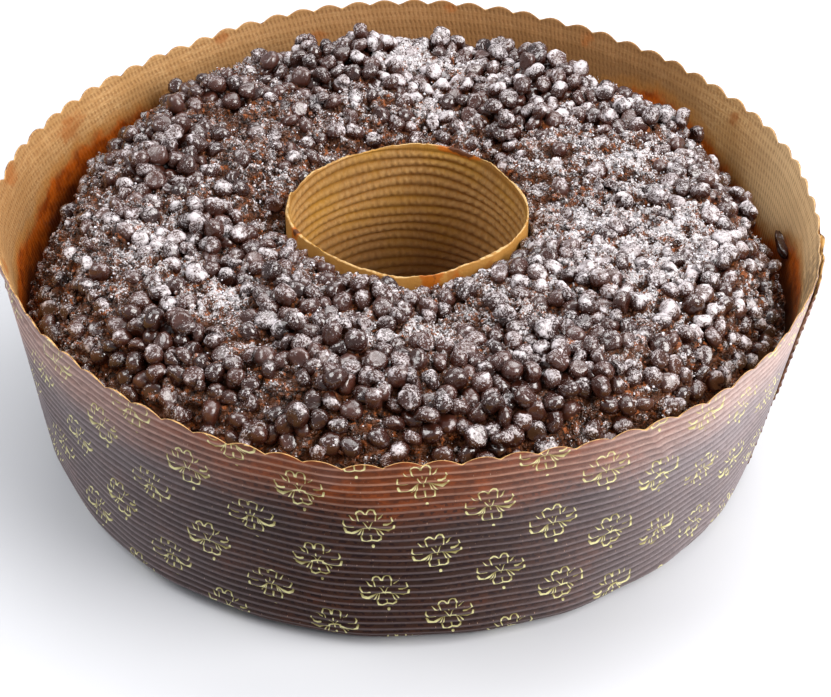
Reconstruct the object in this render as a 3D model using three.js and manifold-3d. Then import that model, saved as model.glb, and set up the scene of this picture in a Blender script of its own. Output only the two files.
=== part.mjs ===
// A ring cake in the paper case it was baked in: a flared wall with a scalloped rim, a paper tube
// through the middle, a flat base disc glued between their feet, and one lumpy ring of cake.
// Millimetres, +Z up. The origin is the middle of the foot, on the surface the case stands on.

import * as THREE from 'three';
import { mergeVertices } from 'three/addons/utils/BufferGeometryUtils.js';
import Module from 'manifold-3d';

// ---- driving dimensions -------------------------------------------------------------------------

const PAPER = 1.2; // thickness of the fluted paper with its liner
const GAP = 0.3; // clearance between pieces that touch

// outer wall
const RIM_RADIUS = 110;
const RIM_HEIGHT = 68;
const FOOT_RADIUS = 102.9; // where the rounded foot corner ends
const CORNER = 7.9; // outside radius of the foot corner
const FOLD_WIDTH = 12; // the wall's lower edge, folded in under the base disc
const SCALLOPS = 76;
const SCALLOP_DEPTH = 1.7;
const UNCUT_EXTRA = 11; // how far the wall stands above its rim before it is cut to its scallops
const CUT_MARGIN = 8; // how far the cutting ring reaches past the paper on both sides

// central tube
const TUBE_RIM_RADIUS = 32.2;
const TUBE_FOOT_RADIUS = 35.6;
const TUBE_HEIGHT = 64.3;
const TUBE_TILT = 0.98; // the rim stands this much higher on the +X side
const FLANGE_WIDTH = 10; // the tube's lower edge, folded out under the base disc
const FLANGE_FILLET = 1.5;

// base disc
const BASE_CLEARANCE = 1.4; // from the disc to the tube's foot fillet
const BASE_REACH = 1; // how far the disc reaches into the wall's rounded corner

// cake: a ring dome, measured to the tops of the chocolate drops that cover it
const CROWN_RADIUS = 68;
const CROWN_HEIGHT = 71;
const INNER_REACH = 32; // from the crown in to the tube
const INNER_DROP = 8.5;
const INNER_POWER = 2.5;
const OUTER_REACH = 39; // from the crown out to the wall
const OUTER_DROP = 23;
const OUTER_POWER = 3;
const CAKE_CLEARANCE = 0.4;

// unevenness, as [order round the ring, amplitude in mm, phase in degrees]
const RIM_WAVES = [[1, 0.67, -38], [2, 0.4, 103], [3, 1.25, -114], [4, 0.87, -15], [5, 0.67, 135]];
const RIM_HEIGHT_WAVES = [[1, 0.46, 148], [2, 0.54, 29]];
const FOOT_WAVES = [[1, 0.41, 169], [2, 0.62, 135], [3, 0.35, -72]];
const TUBE_WAVES = [[2, 0.42, -55], [3, 0.47, -176], [4, 0.76, -29], [5, 0.29, -74]];

// lumps of the dome: [order, radial twist in degrees per mm, amplitude in mm, phase in degrees]
const DOME_WAVES = [[3, 1.5, 0.7, 40], [5, -2.5, 0.6, 200], [8, 5, 0.5, 75], [13, -7, 0.45, 310]];

// hollows and heaps of the dome: [azimuth in degrees, radius, spread, height], the last three in mm
const DOME_LUMPS = [
  [10, 46, 9, -3.5],
  [190, 38, 7, -6],
  [12, 101, 9, -7],
  [174, 101, 8, -7],
  [355, 63, 7, -2.5],
  [200, 91, 9, -2],
  [222, 85, 9, -2],
  [242, 76, 9, -2],
  [285, 60, 10, -1.5],
  [340, 72, 9, -2],
  [145, 68, 9, -2],
  [305, 92, 12, 2],
  [262, 93, 10, 1.5],
  [62, 78, 12, 1.5],
  [92, 84, 12, 1.5],
];

// facets
const WALL_SEGMENTS = SCALLOPS;
const POINTS_PER_SCALLOP = 4;
const TUBE_SEGMENTS = 60;
const CAKE_SEGMENTS = 88;
const CORNER_STEPS = 5;
const DOME_STEPS = 12;
const EDGE_TRIES = 12; // steps to find where the dome meets a side; the height settles within 6

// ---- derived dimensions -------------------------------------------------------------------------

// lean of the wall from vertical, in radians
const FLARE = Math.atan((RIM_RADIUS - FOOT_RADIUS) / (RIM_HEIGHT - CORNER));
const BASE_BOTTOM = PAPER + GAP;
const BASE_TOP = BASE_BOTTOM + PAPER;
const CAKE_BOTTOM = BASE_TOP + GAP;
const FOLD_RADIUS = FOOT_RADIUS - CORNER; // where the corner meets the floor
const BASE_OUTER = FOLD_RADIUS + BASE_REACH;
const BASE_INNER = TUBE_FOOT_RADIUS + FLANGE_FILLET + BASE_CLEARANCE;
const UNCUT_TOP = RIM_HEIGHT + UNCUT_EXTRA;
const CUT_TOP = UNCUT_TOP + 1; // the cutting ring ends a little above the uncut wall

const radians = (degrees) => (degrees * Math.PI) / 180;

function waves(terms, angle) {
  let sum = 0;
  for (const [order, amplitude, phase] of terms) {
    sum += amplitude * Math.cos(order * angle - radians(phase));
  }
  return sum;
}

// ---- swept rings --------------------------------------------------------------------------------

// Carries a closed profile once round the Z axis. profileAt(angle) gives [radius, height] points,
// anticlockwise with radius to the right and height upward, always as many.
function sweptRing(segments, profileAt) {
  const positions = [];
  const indices = [];
  for (let i = 0; i < segments; i += 1) {
    const angle = (2 * Math.PI * i) / segments;
    for (const [radius, height] of profileAt(angle)) {
      positions.push(radius * Math.cos(angle), radius * Math.sin(angle), height);
    }
  }
  const count = profileAt(0).length;
  for (let i = 0; i < segments; i += 1) {
    const row = i * count;
    const nextRow = ((i + 1) % segments) * count;
    for (let k = 0; k < count; k += 1) {
      const after = (k + 1) % count;
      indices.push(row + k, nextRow + k, nextRow + after);
      indices.push(row + k, nextRow + after, row + after);
    }
  }
  const geometry = new THREE.BufferGeometry();
  geometry.setAttribute('position', new THREE.Float32BufferAttribute(positions, 3));
  geometry.setIndex(indices);
  return geometry;
}

// ---- outer wall ---------------------------------------------------------------------------------

// Radius of the wall at a height on its straight flare, inset from the outside face.
function wallRadius(angle, height, inset) {
  const foot = FOOT_RADIUS + waves(FOOT_WAVES, angle);
  const rim = RIM_RADIUS + waves(RIM_WAVES, angle);
  const rise = (height - CORNER) / (RIM_HEIGHT - CORNER);
  return foot + (rim - foot) * rise - inset / Math.cos(FLARE);
}

// Points from the given bottom height up the rounded corner and the flare to the given top height.
function wallSide(angle, inset, bottom, top) {
  const centre = FOLD_RADIUS + waves(FOOT_WAVES, angle);
  const radius = CORNER - inset;
  const start = Math.asin(Math.min(1, (CORNER - bottom) / radius));
  const points = [];
  for (let i = 0; i <= CORNER_STEPS; i += 1) {
    const below = start + ((FLARE - start) * i) / CORNER_STEPS; // angle below the corner's centre
    points.push([centre + radius * Math.cos(below), CORNER - radius * Math.sin(below)]);
  }
  points.push([wallRadius(angle, top, inset), top]);
  return points;
}

function wallProfile(angle) {
  const foldEdge = FOLD_RADIUS - FOLD_WIDTH;
  const outside = wallSide(angle, 0, 0, UNCUT_TOP);
  const inside = wallSide(angle, PAPER, PAPER, UNCUT_TOP);
  return [[foldEdge, 0], ...outside, ...inside.reverse(), [foldEdge, PAPER]];
}

// Height of the pinked rim: broad rounded crests with tight valleys between them.
function rimHeight(angle) {
  const crest = Math.abs(Math.cos((SCALLOPS * angle) / 2));
  return RIM_HEIGHT + waves(RIM_HEIGHT_WAVES, angle) + SCALLOP_DEPTH * (crest - 0.5);
}

function rimCutter(angle) {
  const inner = RIM_RADIUS - CUT_MARGIN;
  const outer = RIM_RADIUS + CUT_MARGIN;
  const bottom = rimHeight(angle);
  return [[inner, bottom], [outer, bottom], [outer, CUT_TOP], [inner, CUT_TOP]];
}

// ---- central tube -------------------------------------------------------------------------------

function tubeTop(angle) {
  return TUBE_HEIGHT + TUBE_TILT * Math.cos(angle);
}

// Outside radius of the tube; it tapers to the rim, where it is the least round.
function tubeRadius(angle, height) {
  const rise = height / TUBE_HEIGHT;
  return TUBE_FOOT_RADIUS + (TUBE_RIM_RADIUS + waves(TUBE_WAVES, angle) - TUBE_FOOT_RADIUS) * rise;
}

function tubeProfile(angle) {
  const top = tubeTop(angle);
  const flange = TUBE_FOOT_RADIUS + FLANGE_WIDTH;
  const filletTop = PAPER + FLANGE_FILLET;
  return [
    [flange, 0],
    [flange, PAPER],
    [tubeRadius(angle, filletTop) + FLANGE_FILLET, PAPER],
    [tubeRadius(angle, filletTop), filletTop],
    [tubeRadius(angle, top), top],
    [tubeRadius(angle, top) - PAPER, top],
    [tubeRadius(angle, filletTop) - PAPER, filletTop],
    [tubeRadius(angle, filletTop), 0],
  ];
}

// ---- base disc ----------------------------------------------------------------------------------

function baseProfile() {
  return [
    [BASE_INNER, BASE_BOTTOM],
    [BASE_OUTER, BASE_BOTTOM],
    [BASE_OUTER, BASE_TOP],
    [BASE_INNER, BASE_TOP],
  ];
}

// ---- cake ---------------------------------------------------------------------------------------

// Height of the cake's top: the crown, less a drop towards the tube and a steeper one towards the
// wall, plus the waves and the single hollows and heaps.
function domeHeight(angle, radius) {
  const inward = Math.max(0, CROWN_RADIUS - radius) / INNER_REACH;
  const outward = Math.max(0, radius - CROWN_RADIUS) / OUTER_REACH;
  const drop = INNER_DROP * inward ** INNER_POWER + OUTER_DROP * outward ** OUTER_POWER;
  let relief = 0;
  for (const [order, twist, amplitude, phase] of DOME_WAVES) {
    relief += amplitude * Math.cos(order * angle + radians(twist * (radius - CROWN_RADIUS) - phase));
  }
  for (const [azimuth, lumpRadius, spread, height] of DOME_LUMPS) {
    const along = radius * lumpRadius * Math.cos(angle - radians(azimuth));
    const squaredDistance = radius ** 2 + lumpRadius ** 2 - 2 * along;
    relief += height * Math.exp(-squaredDistance / (2 * spread ** 2));
  }
  return CROWN_HEIGHT - drop + relief;
}

// Where the dome meets a side whose radius changes slowly with height.
function domeEdge(angle, radiusAt) {
  let height = CROWN_HEIGHT;
  for (let i = 0; i < EDGE_TRIES; i += 1) {
    height = domeHeight(angle, radiusAt(height));
  }
  return height;
}

function cakeProfile(angle) {
  const inset = PAPER + CAKE_CLEARANCE;
  const outerAt = (height) => wallRadius(angle, height, inset);
  const innerAt = (height) => tubeRadius(angle, height) + CAKE_CLEARANCE;
  const outerTop = domeEdge(angle, outerAt);
  const innerTop = domeEdge(angle, innerAt);
  const side = wallSide(angle, inset, CAKE_BOTTOM, outerTop);
  const dome = [];
  for (let i = 1; i < DOME_STEPS; i += 1) {
    const radius = THREE.MathUtils.lerp(outerAt(outerTop), innerAt(innerTop), i / DOME_STEPS);
    dome.push([radius, domeHeight(angle, radius)]);
  }
  return [
    [innerAt(CAKE_BOTTOM), CAKE_BOTTOM],
    ...side,
    ...dome,
    [innerAt(innerTop), innerTop],
  ];
}

// ---- cutting ------------------------------------------------------------------------------------

const wasm = await Module();
wasm.setup();

function toSolid(geometry) {
  const merged = mergeVertices(geometry);
  const mesh = new wasm.Mesh({
    numProp: 3,
    vertProperties: new Float32Array(merged.attributes.position.array),
    triVerts: new Uint32Array(merged.index.array),
  });
  return new wasm.Manifold(mesh);
}

function toGeometry(solid) {
  const mesh = solid.getMesh();
  const geometry = new THREE.BufferGeometry();
  geometry.setAttribute('position', new THREE.BufferAttribute(mesh.vertProperties, 3));
  geometry.setIndex(new THREE.BufferAttribute(mesh.triVerts, 1));
  return geometry;
}

const uncutWall = toSolid(sweptRing(WALL_SEGMENTS, wallProfile));
const scallopCutter = toSolid(sweptRing(SCALLOPS * POINTS_PER_SCALLOP, rimCutter));

// ---- the object ---------------------------------------------------------------------------------

const printedPaper = new THREE.MeshStandardMaterial({ color: 0x5c3a30, roughness: 0.6, metalness: 0 });
const kraftPaper = new THREE.MeshStandardMaterial({ color: 0xb08a50, roughness: 0.75, metalness: 0 });
const baseBoard = new THREE.MeshStandardMaterial({ color: 0xa07c4a, roughness: 0.8, metalness: 0 });
const cakeCrumb = new THREE.MeshStandardMaterial({ color: 0x3a1f18, roughness: 0.9, metalness: 0 });

const ringCake = new THREE.Group();

function addPiece(name, geometry, material) {
  const mesh = new THREE.Mesh(geometry, material);
  mesh.name = name;
  ringCake.add(mesh);
}

addPiece('paper_wall', toGeometry(uncutWall.subtract(scallopCutter)), printedPaper);
addPiece('paper_tube', sweptRing(TUBE_SEGMENTS, tubeProfile), kraftPaper);
addPiece('paper_base', sweptRing(WALL_SEGMENTS, baseProfile), baseBoard);
addPiece('cake', sweptRing(CAKE_SEGMENTS, cakeProfile), cakeCrumb);

export default ringCake;
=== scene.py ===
# %% [markdown]
# # A chocolate ring cake in its paper baking case
#
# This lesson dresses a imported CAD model. The CAD holds four plain solids: the paper wall, the paper tube,
# the base disc and the cake. Here each gets its real surface: flutes pressed into the paper, a printed
# ornament, baking stains, an open crumb, and over a thousand chocolate drops under icing sugar.
# Every shape is worked out in millimetres with numpy, and scaled to metres once, when a mesh is made.

# %% Load the frame
import bpy
import numpy as np
from mathutils import Matrix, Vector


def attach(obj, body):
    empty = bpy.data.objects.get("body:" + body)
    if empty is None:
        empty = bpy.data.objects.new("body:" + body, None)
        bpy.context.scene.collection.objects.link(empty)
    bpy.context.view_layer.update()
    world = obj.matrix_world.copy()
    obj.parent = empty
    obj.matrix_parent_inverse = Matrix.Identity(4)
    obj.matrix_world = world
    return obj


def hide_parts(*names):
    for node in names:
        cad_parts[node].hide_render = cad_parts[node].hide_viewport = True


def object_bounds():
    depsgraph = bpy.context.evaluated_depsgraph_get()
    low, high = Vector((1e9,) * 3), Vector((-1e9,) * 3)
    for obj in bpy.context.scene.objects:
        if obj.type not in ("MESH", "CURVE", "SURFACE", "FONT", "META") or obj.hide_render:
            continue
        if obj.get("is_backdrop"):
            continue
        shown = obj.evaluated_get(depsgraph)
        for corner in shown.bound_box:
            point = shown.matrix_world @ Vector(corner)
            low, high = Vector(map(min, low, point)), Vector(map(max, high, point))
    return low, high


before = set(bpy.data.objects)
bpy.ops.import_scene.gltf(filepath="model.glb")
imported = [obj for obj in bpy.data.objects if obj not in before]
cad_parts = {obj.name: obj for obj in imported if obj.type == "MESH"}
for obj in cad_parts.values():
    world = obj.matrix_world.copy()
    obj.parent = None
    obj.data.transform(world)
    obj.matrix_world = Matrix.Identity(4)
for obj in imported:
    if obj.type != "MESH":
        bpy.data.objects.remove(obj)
cad_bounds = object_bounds()
scene = bpy.context.scene
METRES = 0.001
print("nodes in the frame:", sorted(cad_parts))

# %% [markdown]
# ## The camera
#
# The photo looks down at the cake at 38 degrees through a long lens. A camera is a point, a direction and a
# roll, so three unit vectors are enough: forward, right and up. The roll is the small tilt of the picture.

# %% Camera
PHOTO_WIDTH = 831
FOCAL_PIXELS = 1845
SENSOR = 36.0
ELEVATION = np.radians(38.2)
DISTANCE = 534.7
AIM = np.array([2.53, 0.0, 14.96])
ROLL = np.radians(1.02)

forward = np.array([0, np.cos(ELEVATION), -np.sin(ELEVATION)])
level = np.array([1.0, 0, 0])
upright = np.cross(level, forward)
right = np.cos(ROLL) * level + np.sin(ROLL) * upright
up = np.cos(ROLL) * upright - np.sin(ROLL) * level
camera_data = bpy.data.cameras.new("camera")
camera_data.sensor_width = SENSOR
camera_data.lens = FOCAL_PIXELS / PHOTO_WIDTH * SENSOR
camera_data.clip_end = 20.0
camera = bpy.data.objects.new("camera", camera_data)
pose = np.eye(4)
pose[:3, 0], pose[:3, 1], pose[:3, 2] = right, up, -forward
pose[:3, 3] = (AIM - forward * DISTANCE) * METRES
camera.matrix_world = Matrix(pose.tolist())
scene.collection.objects.link(camera)
scene.camera = camera
print("lens", round(camera_data.lens, 2), "mm, camera at", pose[:3, 3].round(3))

# %% [markdown]
# ## From arrays to a mesh
#
# All pieces are made the same way: an array of points, arrays of faces that name points by number, and
# optional values for the shaders, as UV maps per face corner or as attributes per point. `foreach_set`
# hands whole arrays to Blender at once, which is why a surface of 100,000 faces takes well under a second.


# %% Mesh builder
def make_piece(name, points, faces, uvs=None, attributes=None):
    """A mesh object from points in mm (n, 3) and a list of face arrays, each (count, corners).

    uvs maps a name to an array (all corners, 2), attributes a name to an array of one value per point.
    """
    mesh = bpy.data.meshes.new(name)
    sizes = np.concatenate([np.full(len(group), group.shape[1]) for group in faces])
    corners = np.concatenate([group.ravel() for group in faces])
    mesh.vertices.add(len(points))
    mesh.vertices.foreach_set("co", (points * METRES).astype(np.float32).ravel())
    mesh.loops.add(len(corners))
    mesh.loops.foreach_set("vertex_index", corners.astype(np.int32))
    mesh.polygons.add(len(sizes))
    mesh.polygons.foreach_set("loop_start", (np.cumsum(sizes) - sizes).astype(np.int32))
    mesh.update(calc_edges=True)
    for key, values in (uvs or {}).items():
        mesh.uv_layers.new(name=key).uv.foreach_set("vector", values.astype(np.float32).ravel())
    for key, values in (attributes or {}).items():
        mesh.attributes.new(key, "FLOAT", "POINT").data.foreach_set("value", values.astype(np.float32))
    mesh.shade_smooth()
    piece = bpy.data.objects.new(name, mesh)
    scene.collection.objects.link(piece)
    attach(piece, "root")
    print(f"{name}: {len(points)} points, {int((sizes - 2).sum())} triangles")
    return piece


def grid_faces(rows, columns, joined=True):
    """Quads over a grid whose rows close on themselves; joined closes the columns too.

    Rows run anticlockwise round the section (radius to the right, height up), columns anticlockwise as
    seen from above, and then the quads face outwards.
    """
    row = np.arange(rows)[:, None]
    column = np.arange(columns if joined else columns - 1)[None, :]
    row_after, column_after = (row + 1) % rows, (column + 1) % columns
    corners = [row * columns + column, row * columns + column_after,
               row_after * columns + column_after, row_after * columns + column]
    return np.stack(corners, -1).reshape(-1, 4)


def grid_uv(across, along):
    """Corner values for grid_faces. A joined grid has one column more here, where the first comes again."""
    both = np.stack([across, along], -1)
    both = np.concatenate([both, both[:1]])
    return np.stack([both[:-1, :-1], both[:-1, 1:], both[1:, 1:], both[1:, :-1]], 2).reshape(-1, 2)


def around(angle, radius, height):
    """Points from cylinder coordinates."""
    return np.stack(np.broadcast_arrays(radius * np.cos(angle), radius * np.sin(angle), height), -1)


print("a ring of 3 rows and 4 columns has", len(grid_faces(3, 4)), "faces")

# %% [markdown]
# ## Smooth unevenness
#
# Nothing baked is regular. A few small formulas give all the unevenness below: a soft step, bumps at places
# round the ring or in plan, waves round the ring that may also run along a surface, and noise made of many
# plane waves. Each works on a table of terms, so the numbers of a shape stand together under one name.


# %% Steps, bumps, waves and noise
RUMPLE_WAVES, RUMPLE_RANGE = 40, (0.7, 1.4)


def soft_step(value, low, high):
    """0 below low, 1 above high, and 3t^2 - 2t^3 between."""
    t = np.clip((value - low) / (high - low), 0, 1)
    return t * t * (3 - 2 * t)


def bump_at(angle, centre, width):
    """A Gaussian bump over the angle round the ring, with its centre and width in degrees."""
    away = (np.degrees(angle) - centre + 180) % 360 - 180
    return np.exp(-0.5 * (away / width) ** 2)


def bumps(terms, angle):
    """Sum of size * bump_at over (centre, width, size), with angles in degrees."""
    return sum(size * bump_at(angle, centre, width) for centre, width, size in terms)


def plan_bump(angle, radius, azimuth, centre_radius, spread):
    """A Gaussian bump in plan, with its centre at an azimuth in degrees and a radius."""
    squared = radius ** 2 + centre_radius ** 2
    squared = squared - 2 * radius * centre_radius * np.cos(angle - np.radians(azimuth))
    return np.exp(-squared / (2 * spread ** 2))


def plan_bumps(terms, angle, radius):
    """Sum of size * plan_bump over (azimuth, radius, spread, size)."""
    return sum(size * plan_bump(angle, radius, *centre, spread) for *centre, spread, size in terms)


def waves(terms, angle):
    """Sum of size * cos(order * angle - phase) over (order, size, phase in degrees)."""
    return sum(size * np.cos(order * angle - np.radians(phase)) for order, size, phase in terms)


def ripples(terms, angle, along=0.0):
    """Sum of size * cos(order * angle + twist * along + phase) over (size, order, twist, phase)."""
    return sum(size * np.cos(order * angle + twist * along + phase) for size, order, twist, phase in terms)


def rumple(points, wavelength, seed):
    """Smooth noise of unit size: the sum of plane waves of about one wavelength in random directions."""
    draw = np.random.default_rng(seed)
    direction = draw.normal(size=(RUMPLE_WAVES, 3))
    direction /= np.linalg.norm(direction, axis=1)[:, None]
    number = 2 * np.pi / wavelength * draw.uniform(*RUMPLE_RANGE, RUMPLE_WAVES)
    phase = draw.uniform(0, 2 * np.pi, RUMPLE_WAVES)
    total = np.zeros(points.shape[:-1])
    for k in range(RUMPLE_WAVES):
        total += np.cos(points @ (direction[k] * number[k]) + phase[k])
    return total * np.sqrt(2 / RUMPLE_WAVES)


probe = np.random.default_rng(0).uniform(0, 99, (999, 3))
print("rumple has a spread of", rumple(probe, 5, 1).std().round(2))

# %% [markdown]
# ## The shape of the case
#
# The wall's section is a straight flare, a round foot corner, and a fold that turns in under the base. One
# number, the distance along this section, finds a point on it: negative up the flare, 0 where the foot
# corner starts. The rim, the foot and the tube each differ from a circle by a few low waves.

# %% Section of the wall
PAPER = 1.2
RIM_RADIUS, RIM_HEIGHT = 110.0, 68.0
FOOT_RADIUS, CORNER = 102.9, 7.9
FOLD_RADIUS, FOLD_WIDTH = FOOT_RADIUS - CORNER, 12.0
SCALLOPS, SCALLOP_DEPTH = 76, 1.7
FLARE = np.arctan((RIM_RADIUS - FOOT_RADIUS) / (RIM_HEIGHT - CORNER))
CORNER_TOP = CORNER * (1 - np.sin(FLARE))
CORNER_LENGTH = CORNER * (np.pi / 2 - FLARE)
RIM_WAVES = [(1, 0.67, -38), (2, 0.4, 103), (3, 1.25, -114), (4, 0.87, -15), (5, 0.67, 135)]
RIM_HEIGHT_WAVES = [(1, 0.46, 148), (2, 0.54, 29)]
FOOT_WAVES = [(1, 0.41, 169), (2, 0.62, 135), (3, 0.35, -72)]
RIM_DENTS = [(-98, 5, 1.6), (-80, 7, -1.3)]
SCALLOP_POWER = 0.85
RIM_RAGGED = [(0.12, 29, 0, 1), (0.1, 47, 0, 2)]


def wall_radius(angle, height):
    """Outside radius of the wall: a straight line from the top of the foot corner up to the rim."""
    foot = FOLD_RADIUS + CORNER * np.cos(FLARE) + waves(FOOT_WAVES, angle)
    rim = RIM_RADIUS + waves(RIM_WAVES, angle) + bumps(RIM_DENTS, angle)
    return foot + (rim - foot) * (height - CORNER_TOP) / (RIM_HEIGHT - CORNER_TOP)


def wall_point(angle, path, out):
    """Radius and height at a distance along the section, moved out along the normal there."""
    below = FLARE + np.clip(path, 0, CORNER_LENGTH) / CORNER
    inward = np.maximum(path - CORNER_LENGTH, 0)
    height = np.where(path <= 0, CORNER_TOP - path * np.cos(FLARE), CORNER * (1 - np.sin(below)))
    corner_radius = FOLD_RADIUS + waves(FOOT_WAVES, angle) + CORNER * np.cos(below) - inward
    radius = np.where(path <= 0, wall_radius(angle, height), corner_radius)
    return radius + out * np.cos(below), height - out * np.sin(below)


def rim_height(angle):
    """Height of the pinked rim: a power of |cos| gives broad crests with tight valleys between them."""
    crest = np.abs(np.cos(SCALLOPS * angle / 2)) ** SCALLOP_POWER
    scallops = SCALLOP_DEPTH * (crest - 0.5)
    return RIM_HEIGHT + waves(RIM_HEIGHT_WAVES, angle) + scallops + ripples(RIM_RAGGED, angle)


def rim_path(angle):
    """The rim as a distance along the section."""
    return (CORNER_TOP - rim_height(angle)) / np.cos(FLARE)


scallop_width = 2 * np.pi * RIM_RADIUS / SCALLOPS
print("flare", round(np.degrees(FLARE), 2), "degrees; scallops", round(scallop_width, 2), "mm")

# %% [markdown]
# ## The printed outer sheet
#
# Micro-fluted paper is a printed sheet pressed into level flutes 2.5 mm apart. It could be a plain shell
# with a bump map, but the flutes show in the wall's outline and catch the light, so they are modelled:
# five rows of points for each flute, moved out by a wave. Near the rim the rows lean over from level lines
# to the scalloped edge while the wave stays level, so that the scallops cut through the flutes.
#
# The sheet is one strip wrapped round a little more than once. Its outer end lies over its inner end at
# the right of the photo and is glued there. So the grid is open at both ends, and faces close them.

# %% Flutes and dents
FLUTE = 2.5
FLUTE_DEPTH = 0.52
FLUTE_LEVEL = 0.6
ROW = FLUTE / 5
TOP_ROW, LAST_FLUTED_ROW = -123, 17
COLUMNS_PER_SCALLOP = 8
LEAN_REACH = 7.0
SQUEEZED = 0.34
CREST_POWER = 1.4
FLATTEST = 0.55
FLUTE_UNEVEN = [(0.14, 9, 0.21, 0), (0.1, 31, -0.43, 0)]
HANDLING = [(0.22, 11, 0.05, 0), (0.16, 23, -0.11, 1)]
CREASE_AT, CREASE_SLANT, CREASE_DEPTH = -56.5, 0.3, 0.45
CRUMPLE_AT, CRUMPLE_SLANT = 210.0, 0.12
CRUMPLES = [(4.5, 0.6, 12, 0.55), (7.0, 0.8, 10, -0.45)]
PLEATS = [(-52, 1.5, 0.5), (-45, 3.6, 0.6), (-38, 5.0, 0.5), (-118, 3.0, 0.4), (-20, 2.0, 0.4),
          (70, 3, 0.4)]
PLEAT_SLANT, PLEAT_WIDTH, PLEAT_SPREAD = 0.12, 0.5, 6


def flute_wave(path):
    """0 in the valleys and 1 on the crests, with crests a little narrower than valleys."""
    return (0.5 + 0.5 * np.cos(2 * np.pi * path / FLUTE)) ** CREST_POWER


def flutes(angle, path):
    """Flutes in mm about the sheet's middle: pressed flatter at the rim, and flat on the fold."""
    near_rim = FLATTEST + (1 - FLATTEST) * soft_step(path - rim_path(angle), 0.5, 5)
    under = 1 - soft_step(path / CORNER_LENGTH, 0.6, 0.85)
    uneven = 1 + ripples(FLUTE_UNEVEN, angle, path)
    return FLUTE_DEPTH * (flute_wave(path) - FLUTE_LEVEL) * near_rim * under * uneven


def handling(angle, path):
    """Slow dents in mm that all layers of the wall share, from being filled, baked and handled."""
    return ripples(HANDLING, angle, path)


def ridge(path, line, width):
    """A Gaussian ridge along a line of the path, both in mm."""
    return np.exp(-0.5 * ((path - line) / width) ** 2)


def folds(angle, path):
    """Sharp folds in mm, outer sheet only: creases below the rim in front and left, pleats in the foot."""
    crease = bump_at(angle, CREASE_AT + CREASE_SLANT * (path + 52), 0.5)
    total = CREASE_DEPTH * crease * soft_step(-path, 42, 47)
    below_rim = path - rim_path(angle) - CRUMPLE_SLANT * (np.degrees(angle) - CRUMPLE_AT)
    for depth, width, spread, height in CRUMPLES:
        total = total + height * ridge(below_rim, depth, width) * bump_at(angle, CRUMPLE_AT, spread)
    for centre, offset, height in PLEATS:
        line = offset + PLEAT_SLANT * ((np.degrees(angle) - centre + 180) % 360 - 180)
        total = total + height * ridge(path, line, PLEAT_WIDTH) * bump_at(angle, centre, PLEAT_SPREAD)
    return total


def lean_to_rim(path, angle):
    """Moves level rows so that the first follows the rim, fading out over a reach below it."""
    share = np.clip((path - path.min()) / LEAN_REACH, 0, 1)
    return path + (rim_path(angle) - path.min()) * (1 - share)


def inset_at(angle, path, inset):
    """A depth into the wall's thickness, a third of it at the rim, where the punch squeezed the paper."""
    return -inset * (SQUEEZED + (1 - SQUEEZED) * soft_step(path - rim_path(angle), 0, LEAN_REACH))


print("flutes", FLUTE, "mm apart and", FLUTE_DEPTH, "mm deep, with a row of points every", ROW, "mm")

# %% [markdown]
# The ornament was printed on flat paper before the wall was rolled, so its rows run straight on the flat
# sheet and climb round the finished cone. Unrolling the cone gives a point its place on the flat sheet:
# its distance from the cone's tip, and its angle times the sine of the flare. A shift and a turn then line
# the sheet up with the printed rows. This place goes to the shader as a UV map in millimetres.

# %% Unrolling the wall
SHEET_MIDDLE = np.radians(270)
SHEET_HEIGHT = 34.0
PRINT_TURN = np.radians(8.5)
PRINT_X, PRINT_Y = -7.53, 12.29


def print_place(angle, path):
    """Place on the flat printed sheet in mm, with a row of ornaments lying along x."""
    slope = (RIM_RADIUS - FOOT_RADIUS) / (RIM_HEIGHT - CORNER)
    tip = (FOOT_RADIUS + slope * (SHEET_HEIGHT - CORNER)) / np.sin(FLARE)
    distance = tip + (CORNER_TOP - SHEET_HEIGHT) / np.cos(FLARE) - path
    turn = (angle - SHEET_MIDDLE) * np.sin(FLARE)
    x = distance * np.sin(turn) - PRINT_X
    y = distance * np.cos(turn) - tip - PRINT_Y
    cos, sin = np.cos(PRINT_TURN), np.sin(PRINT_TURN)
    return x * cos + y * sin, y * cos - x * sin


print("the foot in front lies at", np.round(print_place(SHEET_MIDDLE, 0.0), 1), "mm on the flat sheet")

# %% Outer sheet
LAP_START, LAP_TURN, LAP_FADE = -20.6, 10.0, 5.0
LAP_LIFT, LAP_PRESSED, LAP_OPENS = 1.0, 0.3, (18, 27)
SHEET_INSET, LINER_INSET = 0.75, 0.78
PINK_TOOTH, PINK_DEPTH, PINK_OUT = 1.7, 0.9, 0.7
BACK_EVERY = 16
FOLDED_ROWS = CORNER_LENGTH + np.array([-2, 0, 3.5, 7.5, FOLD_WIDTH])


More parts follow.
